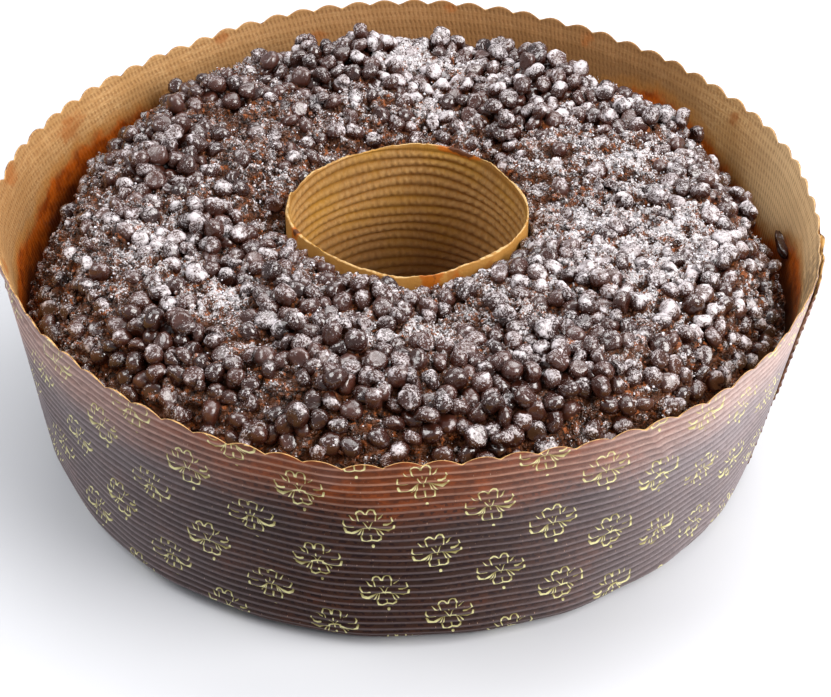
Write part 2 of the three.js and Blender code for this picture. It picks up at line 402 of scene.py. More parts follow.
def outer_sheet():
    """The strip: rows up the outside from the fold to the rim, then a few rows down its back."""
    step = 360 / (SCALLOPS * COLUMNS_PER_SCALLOP)
    degrees = LAP_START + step * np.arange(int(round((360 + LAP_TURN) / step)) + 1)[None, :]
    angle = np.radians(degrees)
    levels = np.concatenate([ROW * np.arange(TOP_ROW, LAST_FLUTED_ROW), FOLDED_ROWS])[:, None]
    path = lean_to_rim(levels + 0 * angle, angle)
    back = path[::BACK_EVERY]
    near_end = degrees - LAP_START
    lifted = (1 - soft_step(near_end - LAP_TURN - 1, 0, LAP_FADE)) + 0 * path
    loose = LAP_PRESSED + (LAP_LIFT - LAP_PRESSED) * soft_step(-path, *LAP_OPENS)
    lift = lifted * loose
    tooth = PINK_DEPTH * (np.abs((path / PINK_TOOTH) % 1 - 0.5) - 0.25) * (1 - soft_step(near_end, 0, 1.0))
    out = flutes(angle, path) + handling(angle, path) + folds(angle, path) + lift + PINK_OUT * tooth
    back_out = inset_at(angle, back, SHEET_INSET) + handling(angle, back) + lift[::BACK_EVERY]
    front_radius, front_height = wall_point(angle, path, out)
    back_radius, back_height = wall_point(angle, back, back_out)
    radius = np.concatenate([front_radius[::-1], back_radius])
    height = np.concatenate([front_height[::-1], back_height])
    pinked = np.concatenate([tooth[::-1], tooth[::BACK_EVERY]]) / RIM_RADIUS
    points = around(angle + pinked, radius, height)
    rows, columns = radius.shape
    all_path = np.concatenate([path[::-1], back])
    ends = strip_ends(len(path), columns)
    is_back = np.repeat([0.0, 1.0], [len(path), len(back)])[:, None] + 0 * radius
    fields = {"back": is_back, "end": 1 - soft_step(near_end + 0 * radius, 0, 0.8),
              "warm": warm_zone(angle, all_path), "grease": grease_zone(angle, all_path),
              "painted_sheen": painted_sheen_zone(angle, all_path)}
    attributes = {key: values.ravel() for key, values in fields.items()}
    faces, uvs = [grid_faces(rows, columns, joined=False), ends], strip_maps(angle, all_path, ends)
    return make_piece("case_outer_sheet", points.reshape(-1, 3), faces, uvs, attributes)


def strip_ends(outside_rows, columns):
    """Faces over both ends of the strip, each between two back rows and the outside rows beside them."""
    back_rows = (outside_rows - 1) // BACK_EVERY + 1
    top = outside_rows - 1 - BACK_EVERY * np.arange(back_rows - 1)[:, None]
    outside = top - BACK_EVERY + np.arange(BACK_EVERY + 1)[None, :]
    behind = outside_rows + np.arange(back_rows - 1)[:, None] + np.arange(2)[None, :]
    rows = np.concatenate([outside, behind], 1)
    return np.concatenate([rows * columns, rows[:, ::-1] * columns + columns - 1])


def strip_maps(angle, path, ends):
    """UV maps of the strip: its place on the printed sheet, and its run round the rim with its path."""
    maps = {"print": print_place(angle, path), "wall": (angle * RIM_RADIUS + 0 * path, path)}
    uvs = {}
    for key, (across, along) in maps.items():
        table = np.stack([across, along], -1).reshape(-1, 2)
        uvs[key] = np.concatenate([grid_uv(across, along), table[ends.ravel()]])
    return uvs


print("the strip is", round(np.radians(360 + LAP_TURN) * RIM_RADIUS), "mm long, with its lap")

# %% [markdown]
# Above the cake's shoulder the paper has only air behind it, and light from inside turns the brown print
# reddish; this glow is painted into the ink's colour. Below it the cake shows through as a darker, greyer
# brown.
# Baking has also driven fat into the paper in front. Both are fields over the wall, kept as attributes and
# made ragged by noise in the shader. A third field places a painted sheen, paler ink where light shines on
# the paper.

# %% Zones of the outer sheet
WARM_EDGE = [(-180, 47), (-131, 57), (-115, 59), (-103, 56), (-90, 53), (-78, 56), (-65, 57), (-50, 57),
             (-20, 55), (20, 50), (60, 53), (100, 50), (140, 52), (180, 47)]
WARM_REACH = 10.0
GREASY = [(-88, 29, 1.2), (150, 30, 0.45), (40, 20, 0.3)]
# Places of a painted sheen: paler, pinker ink where light shines on the paper, most at the right.
SHEEN_RIGHT, SHEEN_LEFT, SHEEN_FAR_LEFT = (-36, 21), (-137, 17), (195, 20)


def warm_zone(angle, path):
    """Height above the line where the cake's shoulder touches the wall, over a reach, from -1 to 1."""
    degrees, heights = np.array(WARM_EDGE, float).T
    edge = np.interp((np.degrees(angle) + 180) % 360 - 180, degrees, heights)
    height = CORNER_TOP - path * np.cos(FLARE)
    return np.clip((height - edge) / WARM_REACH, -1, 1)


def grease_zone(angle, path):
    """How much fat has soaked into the paper: most in front, and some at two places behind."""
    return np.clip(bumps(GREASY, angle), 0, 1) + 0 * path


def painted_sheen_zone(angle, path):
    """Where a painted sheen pales the ink: most at the right, less at the left, both more near the rim."""
    right_side = bump_at(angle, *SHEEN_RIGHT) * (1.2 - 0.4 * soft_step(path, -48, -20))
    left_side = bump_at(angle, *SHEEN_LEFT) * (0.35 + 0.2 * soft_step(-path, 22, 46))
    return right_side + left_side + 0.22 * bump_at(angle, *SHEEN_FAR_LEFT)


outer = outer_sheet()
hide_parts("paper_wall")

# %% [markdown]
# ## The kraft liner
#
# Inside, the case is plain kraft paper. It is a ring of its own inside the printed sheet, with shallower
# flutes. Fine rows are only spent above the cake; below, where the cake hides it, a few rows are enough.
# Where the cake rose against it the paper is stained orange, and a few splashes have dried brown.
#
# The stain follows the cake's shoulder, so the surface of the crumb comes first. It is the dome of the CAD
# less a layer of drops. It stands higher round the tube, except behind it, and its shoulder lies a few
# millimetres further in, except in front, because the cake has shrunk from the wall.

# %% Surface of the crumb
CROWN_RADIUS = 68.0
INNER_REACH, INNER_POWER = 32.0, 2.5
OUTER_REACH, OUTER_DROP, OUTER_POWER = 39.0, 23.0, 3
DOME_WAVES = [(3, 1.5, 0.7, 40), (5, -2.5, 0.6, 200), (8, 5, 0.5, 75), (13, -7, 0.45, 310)]
DOME_LUMPS = [(10, 46, 9, -3.5), (190, 38, 7, -6), (12, 101, 9, -7), (174, 101, 8, -7), (355, 63, 7, -2.5),
              (200, 91, 9, -2), (222, 85, 9, -2), (242, 76, 9, -2), (285, 60, 10, -1.5), (340, 72, 9, -2),
              (145, 68, 9, -2), (305, 92, 12, 2), (262, 93, 10, 1.5), (62, 78, 12, 1.5), (92, 84, 12, 1.5)]
CORE_CROWN, CORE_INNER_DROP = 68.1, 7.7
SHRINK, NOT_SHRUNK = 3.2, (-88, 42)
SHRUNK_MORE = [(24, 22, 3.2), (-6, 12, 1.5), (176, 18, 2.0)]
HEAPED, HEAPED_AT, NOT_HEAPED = 1.6, [(218, 18, 1.6), (-28, 20, 1.2)], (90, 50)


def shrunk(angle):
    """How far in mm the cake has shrunk from the wall: not in front, and most at the right and the left."""
    return SHRINK * (1 - bump_at(angle, *NOT_SHRUNK)) + bumps(SHRUNK_MORE, angle)


def crumb_height(angle, radius):
    """Height under the drops: the crown less a fall to each side, plus waves, lumps and the heap."""
    inward = np.maximum(0, CROWN_RADIUS - radius) / INNER_REACH
    shifted = radius + shrunk(angle) * soft_step(radius, 80, 100)
    outward = np.maximum(0, shifted - CROWN_RADIUS) / OUTER_REACH
    height = CORE_CROWN - CORE_INNER_DROP * inward ** INNER_POWER - OUTER_DROP * outward ** OUTER_POWER
    for order, twist, size, phase in DOME_WAVES:
        height = height + size * np.cos(order * angle + np.radians(twist * (radius - CROWN_RADIUS) - phase))
    heaped = (HEAPED + bumps(HEAPED_AT, angle)) * (1 - bump_at(angle, *NOT_HEAPED))
    return height + plan_bumps(DOME_LUMPS, angle, radius) + heaped * soft_step(radius, 56, 40)


crown = crumb_height(np.radians(np.arange(360)), CROWN_RADIUS)
print("crown of the crumb", crown.min().round(1), "to", crown.max().round(1), "mm high")

# %% Liner
INNER_FLUTE_DEPTH = 0.06
LINER_LAST_FINE_ROW = -64
LINER_DEEP_ROWS = np.array([-26, -14, 0, 4, 8, CORNER_LENGTH, CORNER_LENGTH + FOLD_WIDTH])
LINER_BACK_ROWS = np.array([-55, -42, *LINER_DEEP_ROWS])
SCORCHES = [(158, 62.5, 2.6, 3.5), (176, 67, 2.0, 3.0), (107, 58, 2.2, 3.0), (124, 66, 1.5, 2.0),
            (60, 65, 1.2, 2.0), (197, 64, 1.6, 2.4), (84, 66, 1.0, 1.4), (28, 63, 1.0, 2.0)]
SOAKED, SOAKED_REACH = 2.5, 8.0
SOAKED_MORE = [(175, 12, 11), (5, 8, 3), (140, 14, 4.5), (90, 22, -2.5), (-9, 8, 6), (44, 13, 9)]
# Lighter at the right as a painted glow of light through the paper, darker at the back and at the left.
LINER_GLOW_AND_TINT = [(4, 18, 1.5), (66, 42, -0.9), (182, 16, -0.55)]
LINER_SOOT = (-17, 6)
LINER_FLUTED_TO, SHOULDER_HEIGHT = -30, 50


def stain_zone(angle, path):
    """How far below the stain's upper edge a point is, over a reach: the edge follows the shoulder."""
    height = CORNER_TOP - path * np.cos(FLARE)
    shoulder = crumb_height(angle, wall_radius(angle, SHOULDER_HEIGHT) - PAPER - shrunk(angle))
    soaked = SOAKED + bumps(SOAKED_MORE, angle) + 1.5 * np.cos(7 * angle)
    return np.clip((shoulder + soaked - height) / SOAKED_REACH, -1, 2)


def scorch_zone(angle, path):
    """Dried brown splashes: bumps at their azimuth and height, wider up and down than round."""
    height = CORNER_TOP - path * np.cos(FLARE)
    total = 0 * height
    for azimuth, level_at, width, tall in SCORCHES:
        total = total + bump_at(angle, azimuth, width) * ridge(height, level_at, tall)
    return total


def liner():
    """A closed ring: up its back from the fold to the rim, then down its fluted inside."""
    count = SCALLOPS * COLUMNS_PER_SCALLOP
    angle = (2 * np.pi * np.arange(count + 1) / count)[None, :]
    fine = ROW * np.arange(TOP_ROW, LINER_LAST_FINE_ROW)
    inside = lean_to_rim(np.concatenate([fine, LINER_DEEP_ROWS])[:, None] + 0 * angle, angle)
    behind = np.concatenate([[ROW * TOP_ROW], LINER_BACK_ROWS])[:, None] + 0 * angle
    behind = lean_to_rim(behind, angle)
    flute = INNER_FLUTE_DEPTH * flute_wave(inside + FLUTE / 2) * (inside < LINER_FLUTED_TO)
    inside_out = inset_at(angle, inside, PAPER - flute) + handling(angle, inside)
    behind_out = inset_at(angle, behind, LINER_INSET) + handling(angle, behind)
    path = np.concatenate([behind[::-1], inside])
    radius, height = wall_point(angle, path, np.concatenate([behind_out[::-1], inside_out]))
    points = around(angle, radius, height)[:, :-1]
    uvs = {"wall": grid_uv(angle * RIM_RADIUS + 0 * path, path)}
    fields = {"stain": stain_zone(angle, path), "scorch": scorch_zone(angle, path),
              "pale": bumps(LINER_GLOW_AND_TINT, angle) + 0 * path, "soot": bump_at(angle, *LINER_SOOT) + 0 * path}
    attributes = {key: values[:, :-1].ravel() for key, values in fields.items()}
    faces = [grid_faces(len(path), count)]
    return make_piece("case_liner", points.reshape(-1, 3), faces, uvs, attributes)


inner = liner()
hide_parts("paper_wall")

# %% [markdown]
# ## The tube
#
# The tube through the middle is coarser fluted kraft, 3.3 mm from flute to flute. Its flutes are broad
# rounded ridges with sharp creases between, which is what |sin| gives. They wander a little, so the rows of
# points wander with them. The top millimetre or so was never pressed and stays smooth.

# %% Tube
TUBE_RIM_RADIUS, TUBE_FOOT_RADIUS = 32.2, 35.6
TUBE_HEIGHT, TUBE_TILT = 64.3, 0.98
TUBE_WAVES = [(2, 0.42, -55), (3, 0.47, -176), (4, 0.76, -29), (5, 0.29, -74)]
FLANGE_WIDTH, FLANGE_FILLET = 10.0, 1.5
TUBE_FLUTE, TUBE_FLUTE_DEPTH, TUBE_BAND = 3.3, 0.62, 1.3
TUBE_COLUMNS, TUBE_ROWS_PER_FLUTE = 420, 7
TUBE_RAGGED = [(0.18, 7, 0, 1), (0.12, 17, 0, 0), (0.08, 31, 0, 2)]
TUBE_TORN = [(181, 2.4, -1.1), (171, 2.2, 1.3), (60, 6, -0.5)]
TUBE_BULGE = [(0.25, 6, 5, 0), (0.18, 13, -9, 0)]
FLUTE_WANDER = [(0.45, 3, 0.7, 0), (0.3, 5, -1.1, 2)]
CRIMPS = [((0.32, 97, 4, 0), (1, 11, 2, 0)), ((0.25, 61, -5, 0), (1, 7, -3, 1))]
OUTSIDE_SHARES = np.array([0.03, 0.2, 0.4, 0.6, 0.8, 0.92, 0.995, 1.0])[:, None]
BAND_SHARES = np.array([0, 0.08, 0.35, 0.7])[:, None]
BAND_RIDGE = np.array([0.55, 0.35, 0.3, 0.3])[:, None]
BAND_ROUNDING = np.array([0.75, 0.5, 0.2])[:, None]
RIM_ROUNDING, FLUTE_BASE, UNFLUTED_FOOT, FOOT_ROW = 0.12, 0.5, 4, 2.7
STAIN_ON_RIM, SCORCH_ON_RIM = (63, 8), (-159, 2.5)
STAIN_DEPTHS, SCORCH_DEPTHS = (0, 0.035), (0.02, 0.07)
STAINS_OUTSIDE = [(-79, 4, 0.5), (-66, 3, 0.25)]


def tube_top(angle):
    """Height of the tube's rim, which stands a little higher on one side and is slightly ragged."""
    frayed = 0.12 * np.cos(83 * angle + 3 * np.cos(5 * angle)) * np.cos(13 * angle)
    ragged = ripples(TUBE_RAGGED, angle) + frayed
    return TUBE_HEIGHT + TUBE_TILT * np.cos(angle) + ragged + bumps(TUBE_TORN, angle)


def tube_radius(angle, height):
    """Outside radius of the tube: it tapers to the rim, where it is the least round."""
    rim = TUBE_RIM_RADIUS + waves(TUBE_WAVES, angle)
    return TUBE_FOOT_RADIUS + (rim - TUBE_FOOT_RADIUS) * height / TUBE_HEIGHT


def tube_outside(angle, top):
    """Radius and height up the smooth outside, which bulges a little towards the rim."""
    height = top * OUTSIDE_SHARES
    bulge = ripples(TUBE_BULGE, angle, OUTSIDE_SHARES)
    radius = tube_radius(angle, height) + bulge * OUTSIDE_SHARES
    radius[-1] -= RIM_ROUNDING
    return radius, height


def tube_inside(angle, top):
    """Radius, height and number of flutes passed, down the smooth band and then the flutes."""
    count = int((TUBE_HEIGHT - TUBE_BAND - UNFLUTED_FOOT) / TUBE_FLUTE)
    turn = np.arange(count * TUBE_ROWS_PER_FLUTE + 1)[:, None] / TUBE_ROWS_PER_FLUTE
    fluted_height = TUBE_HEIGHT - TUBE_BAND - TUBE_FLUTE * turn + ripples(FLUTE_WANDER, angle, turn)
    band_height = top - (top - fluted_height[0]) * BAND_SHARES
    height = np.concatenate([band_height, fluted_height])
    crimp = 1 + sum(ripples([fine], angle, turn) * ripples([broad], angle, turn) for fine, broad in CRIMPS)
    flute = TUBE_FLUTE_DEPTH * np.abs(np.sin(np.pi * turn)) * crimp
    flute = np.concatenate([BAND_RIDGE + 0 * angle, flute])
    radius = tube_radius(angle, height) - PAPER + FLUTE_BASE - flute
    radius[:len(BAND_ROUNDING)] += BAND_ROUNDING
    return radius, height, np.concatenate([0 * band_height, turn + 0 * angle])


def tube_marks(angle, depth, outside):
    """Marks of cake: a stain and a scorch at the rim, and two stains on the outside."""
    stain = (1 - soft_step(depth, *STAIN_DEPTHS)) * bump_at(angle, *STAIN_ON_RIM)
    scorch = 0.9 * (1 - soft_step(depth, *SCORCH_DEPTHS)) * bump_at(angle, *SCORCH_ON_RIM)
    return stain + scorch + outside * bumps(STAINS_OUTSIDE, angle)


def tube():
    """A closed ring: up the smooth outside from the flange, over the rim, and down the fluted inside."""
    angle = (2 * np.pi * np.arange(TUBE_COLUMNS + 1) / TUBE_COLUMNS)[None, :]
    top = tube_top(angle)
    flange = TUBE_FOOT_RADIUS + FLANGE_WIDTH
    flange_height = np.array([[0.0], [PAPER], [PAPER]]) + 0 * angle
    flange_radius = np.array([[flange], [flange], [TUBE_FOOT_RADIUS + FLANGE_FILLET]]) + 0 * angle
    outside_radius, outside_height = tube_outside(angle, top)
    inside_radius, inside_height, turn = tube_inside(angle, top)
    foot_height = np.array([[FOOT_ROW], [0.0]]) + 0 * angle
    foot_radius = tube_radius(angle, foot_height) - [[PAPER], [0]]
    height = np.concatenate([flange_height, outside_height, inside_height, foot_height])
    radius = np.concatenate([flange_radius, outside_radius, inside_radius, foot_radius])
    run = np.concatenate([0 * flange_height, outside_height, turn, foot_height])
    row = np.arange(len(height))[:, None]
    first_inside = len(flange_height) + len(outside_height)
    inside = (row >= first_inside) + 0.0 * height
    rim = (row == first_inside - 1) + (row == first_inside) + 0.0 * height
    depth = (top - height) / TUBE_HEIGHT
    fields = {"inside": inside, "depth": depth, "rim": rim, "marks": tube_marks(angle, depth, 1 - inside)}
    attributes = {key: values[:, :-1].ravel() for key, values in fields.items()}
    points = around(angle, radius, height)[:, :-1]
    faces = [grid_faces(len(height), TUBE_COLUMNS)]
    uvs = {"wall": grid_uv(angle * TUBE_RIM_RADIUS + 0 * run, run)}
    return make_piece("case_tube", points.reshape(-1, 3), faces, uvs, attributes)


tube_piece = tube()
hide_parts("paper_tube")

# %% [markdown]
# ## The crumb
#
# The top of the cake is a torn, cloddy crumb. Its grid runs from the foot up beside the wall, over the crown
# and down beside the tube. Clods of three sizes are added to the dome along the surface normal, because a
# vertical shift would smear them on the steep shoulder.

# %% Crumb core
CAKE_COLUMNS, DOME_ROWS = 660, 128
CORE_CLEARANCE, TUBE_CLEARANCE = 2.0, 0.5
CAKE_BOTTOM = 3.0
CLODS = [(7.5, 0.85, 11), (3.5, 0.6, 12), (2.0, 0.36, 13)]
CLOD_TOPS = 0.75
MEETING_TRIES = 12
ROW_CROWDING = 1.2
EDGE_SHARE = 0.02
CORNER_FILL, CORNER_ROUNDING = 5.5, 0.2
UP_SHARES = np.array([0.0, 0.12, 0.4, 0.75])[:, None]
DOWN_SHARES = np.array([0.6, 0.0])[:, None]


def meets_side(angle, side_radius):
    """Height where the crumb meets a side whose radius changes slowly with height, by repeated tries."""
    height = np.full_like(angle, CORE_CROWN)
    for _ in range(MEETING_TRIES):
        height = crumb_height(angle, side_radius(angle, height))
    return height


def outer_side(angle, height):
    """Radius of the crumb's side behind the wall."""
    return wall_radius(angle, height) - CORE_CLEARANCE


def inner_side(angle, height):
    """Radius of the crumb's side round the tube."""
    return tube_radius(angle, height) + TUBE_CLEARANCE


def clods(points):
    """Relief of the crumb in mm: clods of three sizes, with tops flatter than the pits between them."""
    total = 0
    for wavelength, size, seed in CLODS:
        layer = rumple(points, wavelength, seed)
        total = total + size * np.where(layer > 0, layer * CLOD_TOPS, layer)
    return total


def crumb_core():
    """A closed ring: up the outer side, over the dome with its clods, and down the inner side."""
    angle = (2 * np.pi * np.arange(CAKE_COLUMNS) / CAKE_COLUMNS)[None, :]
    outer_edge, inner_edge = meets_side(angle, outer_side), meets_side(angle, inner_side)
    share = (np.linspace(0, 1, DOME_ROWS) ** ROW_CROWDING)[:, None]
    outer_radius, inner_radius = outer_side(angle, outer_edge), inner_side(angle, inner_edge)
    radius = outer_radius + (inner_radius - outer_radius) * share
    height = crumb_height(angle, radius)
    slope = crumb_height(angle, radius + 0.5) - crumb_height(angle, radius - 0.5)  # over one millimetre
    length = np.sqrt(1 + slope ** 2)
    edge_fade = soft_step(share, 0, EDGE_SHARE) * soft_step(1 - share, 0, EDGE_SHARE)
    relief = clods(around(angle, radius, height)) * edge_fade
    dome_radius = radius - slope / length * relief
    dome_height = height + relief / length
    side_height = CAKE_BOTTOM + (outer_edge - CAKE_BOTTOM) * UP_SHARES
    in_corner = FOLD_RADIUS + CORNER_FILL * UP_SHARES ** CORNER_ROUNDING
    in_corner = np.minimum(outer_side(angle, side_height), in_corner)
    side_radius = np.where(side_height > CORNER, outer_side(angle, side_height), in_corner)
    down_height = CAKE_BOTTOM + (inner_edge - CAKE_BOTTOM) * DOWN_SHARES
    all_radius = np.concatenate([side_radius, dome_radius, inner_side(angle, down_height)])
    all_height = np.concatenate([side_height, dome_height, down_height])
    return around(angle, all_radius, all_height)


core_points = crumb_core()
print("crumb from", core_points[..., 2].min().round(1), "to", core_points[..., 2].max().round(1), "mm high")

# %% [markdown]
# ## Heaping the chocolate drops
#
# A rigid-body simulation could drop a thousand pieces onto the crumb, but they were scattered on wet batter
# and baked in, so they neither roll nor stack. A short relaxation does the same job in seconds: start with
# random places, denser where the photo shows heaps, then again and again push apart those that overlap,
# pull each back towards its place, let all sink, and lift those that sank into the crumb.

# %% Where the drops lie
DROP_RADIUS, DROP_HALF_HEIGHT = 2.95, 2.0
DROP_COUNT = 1080
HEAPS = [(225, 88, 16, 0.7), (250, 94, 12, 0.6), (280, 88, 13, 0.8), (303, 85, 11, 0.8), (330, 88, 13, 0.7),
         (262, 72, 12, 0.5), (300, 78, 12, 0.4), (195, 68, 14, 0.6), (215, 60, 9, 0.3), (110, 70, 16, 0.8),
         (135, 85, 14, 0.7), (160, 72, 12, 0.5), (75, 84, 16, 0.7), (50, 78, 16, 0.7), (25, 82, 14, 0.6),
         (0, 84, 12, 0.6), (100, 92, 12, 0.6), (60, 55, 12, 0.4), (245, 50, 10, 0.5), (320, 48, 10, 0.5)]
BARE = [(145, 67, 6, 0.7), (180, 94, 7, 0.9), (196, 91, 7, 0.5), (212, 98, 5, 0.8), (199, 76, 6, 0.6),
        (211, 69, 6, 0.7), (226, 69, 6, 0.75), (240, 72, 6, 0.65), (270, 60, 7, 0.8), (286, 58, 7, 0.9),
        (300, 60, 6, 0.7), (334, 72, 7, 0.8), (348, 68, 7, 0.8), (90, 71, 7, 0.9), (8, 47, 8, 0.9),
        (355, 62, 6, 0.8), (190, 38, 6, 0.9), (165, 48, 8, 0.6), (130, 47, 7, 0.5), (38, 62, 7, 0.6),
        (70, 66, 6, 0.6), (20, 66, 6, 0.6)]
PLAIN_DENSITY, FULL_DENSITY, AT_TUBE = 0.28, 1.25, 0.35
PUSH, PULL_BACK, SINK = 0.42, 0.04, 0.22
SETTLE_STEPS, SPHERE_RADIUS = 45, 2.62
FROM_TUBE, FROM_WALL, TRIES_EACH = 35.5, 102.5, 8
TUBE_LEVEL, TUBE_OVERLAP = 60, 0.3
DROP_SIZES, DROP_STANDS = (0.86, 1.04), (-0.5, 1.7)
HIGH_SHARE, HIGH_LIFT, LOW_LIFT = 0.3, 4.5, 1.5
HIGH_FROM, FRONT_PROUD = (42, 50), (-95, 50)
FAR = 99
SEED = {"toppings": 7, "drop places": 5, "drop dents": 21, "broken places": 31, "broken dents": 33,
        "crumb places": 41, "crumb dents": 43, "clump places": 51, "clump dents": 53}


def drop_density(angle, radius):
    """How likely a drop is at a place, from 0 to 1: a base, more in the heaps, less in the bare bands."""
    density = PLAIN_DENSITY + plan_bumps(HEAPS, angle, radius)
    for azimuth, centre_radius, spread, amount in BARE:
        density = density * (1 - amount * plan_bump(angle, radius, azimuth, centre_radius, spread))
    off_tube = AT_TUBE + (1 - AT_TUBE) * soft_step(radius, 33, 36)
    return np.clip(density, 0, FULL_DENSITY) / FULL_DENSITY * off_tube


def polar(points):
    """Angle and radius of points seen from above."""
    return np.arctan2(points[:, 1], points[:, 0]), np.hypot(points[:, 0], points[:, 1])


def settle(points, size, stand):
    """Pushes apart spheres that overlap, springs them back, and lets them sink to a stand over the crumb."""
    home = points[:, :2].copy()
    for _ in range(SETTLE_STEPS):
        apart = points[:, None] - points[None]
        distance = np.sqrt((apart ** 2).sum(-1)) + np.eye(len(points)) * FAR
        overlap = np.maximum(0, (size[:, None] + size[None]) - distance)
        push = (apart * (overlap / distance)[..., None]).sum(1)
        points = points + PUSH * push
        points[:, :2] += PULL_BACK * (home - points[:, :2])
        points[:, 2] -= SINK
        angle, radius = polar(points)
        low = tube_radius(angle, TUBE_LEVEL) + DROP_RADIUS - TUBE_OVERLAP
        high = wall_radius(angle, points[:, 2]) - PAPER - DROP_RADIUS - shrunk(angle)
        held = np.clip(radius, low, high)
        points[:, :2] *= (held / radius)[:, None]
        points[:, 2] = np.maximum(points[:, 2], crumb_height(angle, held) + stand)
    return points


def scatter(count, density, seed):
    """Random places over the ring in plan, kept with the chance that a density gives."""
    draw = np.random.default_rng(seed)
    tries = count * TRIES_EACH
    radius = np.sqrt(draw.uniform(FROM_TUBE ** 2, FROM_WALL ** 2, tries))
    angle = draw.uniform(0, 2 * np.pi, tries)
    kept = draw.uniform(0, 1, tries) < density(angle, radius)
    return angle[kept][:count], radius[kept][:count]


draw = np.random.default_rng(SEED["toppings"])
drop_angle, drop_from_axis = scatter(DROP_COUNT, drop_density, SEED["drop places"])
drop_size = draw.uniform(*DROP_SIZES, DROP_COUNT)
is_high = draw.uniform(size=DROP_COUNT) < HIGH_SHARE
start_lift = np.where(is_high, HIGH_LIFT, draw.uniform(0, LOW_LIFT, DROP_COUNT))
start_lift = start_lift * soft_step(drop_from_axis, *HIGH_FROM)
start_height = crumb_height(drop_angle, drop_from_axis) + DROP_HALF_HEIGHT + start_lift
start = around(drop_angle, drop_from_axis, start_height)
drop_stand = draw.uniform(*DROP_STANDS, DROP_COUNT) - (1 - bump_at(drop_angle, *FRONT_PROUD))
drop_places = settle(start, SPHERE_RADIUS * drop_size, drop_stand)
spacing = np.linalg.norm(drop_places[:, None] - drop_places[None], axis=-1) + np.eye(DROP_COUNT) * FAR
print(DROP_COUNT, "drops; the median distance to the nearest is", np.median(spacing.min(1)).round(2), "mm")

# %% [markdown]
# A baking drop is a thick round button: deposited soft, it has one flat face and one slightly domed face,
# with a round edge between. One template of 80 faces is turned, scaled and bent differently for each drop,
# all as one product of arrays, so that no two are alike.


# %% One drop, many times
SEGMENTS = 10
DROP_RINGS = np.array([[0.66, -1.0], [0.8, -0.94], [0.97, -0.5], [1.0, 0.05], [0.88, 0.62], [0.58, 0.94],
                       [0.25, 1.03]])
DROP_ENDS = np.array([-0.97, 1.05])
COPY_SHIFT, DENT_WAVELENGTH = 37, 5.0


def button():
    """Template of a drop: rings of a rounded disc, closed by a point at each end, as points and faces."""
    angle = 2 * np.pi * np.arange(SEGMENTS)[None, :] / SEGMENTS
    points = around(angle, DROP_RINGS[:, :1] * DROP_RADIUS, DROP_RINGS[:, 1:] * DROP_HALF_HEIGHT)
    ends = np.zeros((2, 3))
    ends[:, 2] = DROP_ENDS * DROP_HALF_HEIGHT
    count = len(DROP_RINGS)
    quads = grid_faces(count, SEGMENTS)[:(count - 1) * SEGMENTS]
    first, last = np.arange(SEGMENTS), (count - 1) * SEGMENTS + np.arange(SEGMENTS)
    low = np.stack([np.roll(first, -1), first, np.full(SEGMENTS, count * SEGMENTS)], -1)
    high = np.stack([last, np.roll(last, -1), np.full(SEGMENTS, count * SEGMENTS + 1)], -1)
    return np.concatenate([points.reshape(-1, 3), ends]), [quads, np.concatenate([low, high])]


def frames(direction, spin):
    """Rotation matrices (n, 3, 3) that turn z onto each direction, after a spin about it."""
    z = direction / np.linalg.norm(direction, axis=1)[:, None]
    helper = np.where(np.abs(z[:, :1]) < 0.8, [[1.0, 0, 0]], [[0, 1.0, 0]])
    x = np.cross(helper, z)
    x /= np.linalg.norm(x, axis=1)[:, None]
    y = np.cross(z, x)
    cos, sin = np.cos(spin)[:, None], np.sin(spin)[:, None]
    return np.stack([x * cos + y * sin, y * cos - x * sin, z], -1)


def repeated(faces, copies, points_each):
    """The faces of one template for each of its copies."""
    shift = points_each * np.arange(copies)[:, None, None]
    return [(group[None] + shift).reshape(-1, group.shape[1]) for group in faces]


def surface_normal(angle, radius, step=0.8):
    """Unit normals of the smooth crumb, from its slopes over a step in mm either way."""
    along = (crumb_height(angle, radius + step) - crumb_height(angle, radius - step)) / (2 * step)
    turn = step / radius
    across = (crumb_height(angle + turn, radius) - crumb_height(angle - turn, radius)) / (2 * step)
    outward = np.stack([np.cos(angle), np.sin(angle), 0 * angle], -1)
    sideways = np.stack([-np.sin(angle), np.cos(angle), 0 * angle], -1)
    normal = -along[:, None] * outward - across[:, None] * sideways + [0, 0, 1]
    return normal / np.linalg.norm(normal, axis=1)[:, None]


def place_copies(template, places, rotation, scale, bend, seed):
    """Every copy: its template scaled on three axes, dented by up to about bend mm, turned and placed."""
    shaped = template[None] * scale[:, None]
    apart = COPY_SHIFT * np.arange(len(places))[:, None, None]
    dent = bend * rumple(shaped + apart, DENT_WAVELENGTH, seed)[..., None]
    dented = shaped + dent * (shaped / (np.linalg.norm(shaped, axis=-1)[..., None] + 0.3))
    return np.einsum("nij,ntj->nti", rotation, dented) + places[:, None]


template, template_faces = button()
drop_at, drop_out = polar(drop_places)
tumble = draw.normal(size=(DROP_COUNT, 3))
facing = surface_normal(drop_at, drop_out) * 0.6 * draw.choice([-1, 1], DROP_COUNT)[:, None] + tumble
turned = frames(facing, draw.uniform(0, 2 * np.pi, DROP_COUNT))
stretch = drop_size[:, None] * draw.uniform([0.95, 0.93, 0.8], [1.06, 1.03, 1.05], (DROP_COUNT, 3))
drop_points = place_copies(template, drop_places, turned, stretch, 0.22, SEED["drop dents"])
drop_faces = repeated(template_faces, DROP_COUNT, len(template))
print("drops take", drop_points.reshape(-1, 3).max(0).round(1), "mm at most")

# %% [markdown]
# ## Icing sugar falls from above
#
# Sugar through a sieve comes straight down, so it lies on whatever is highest at each spot and leaves what
# is under an overhang dark. A map of the highest point in each half-millimetre cell tells which is which.
# Each point of the crumb and the drops gets a dust value from it: full near the top of its cell, and none
# two or three millimetres below. The shader turns this value into grains and patches.

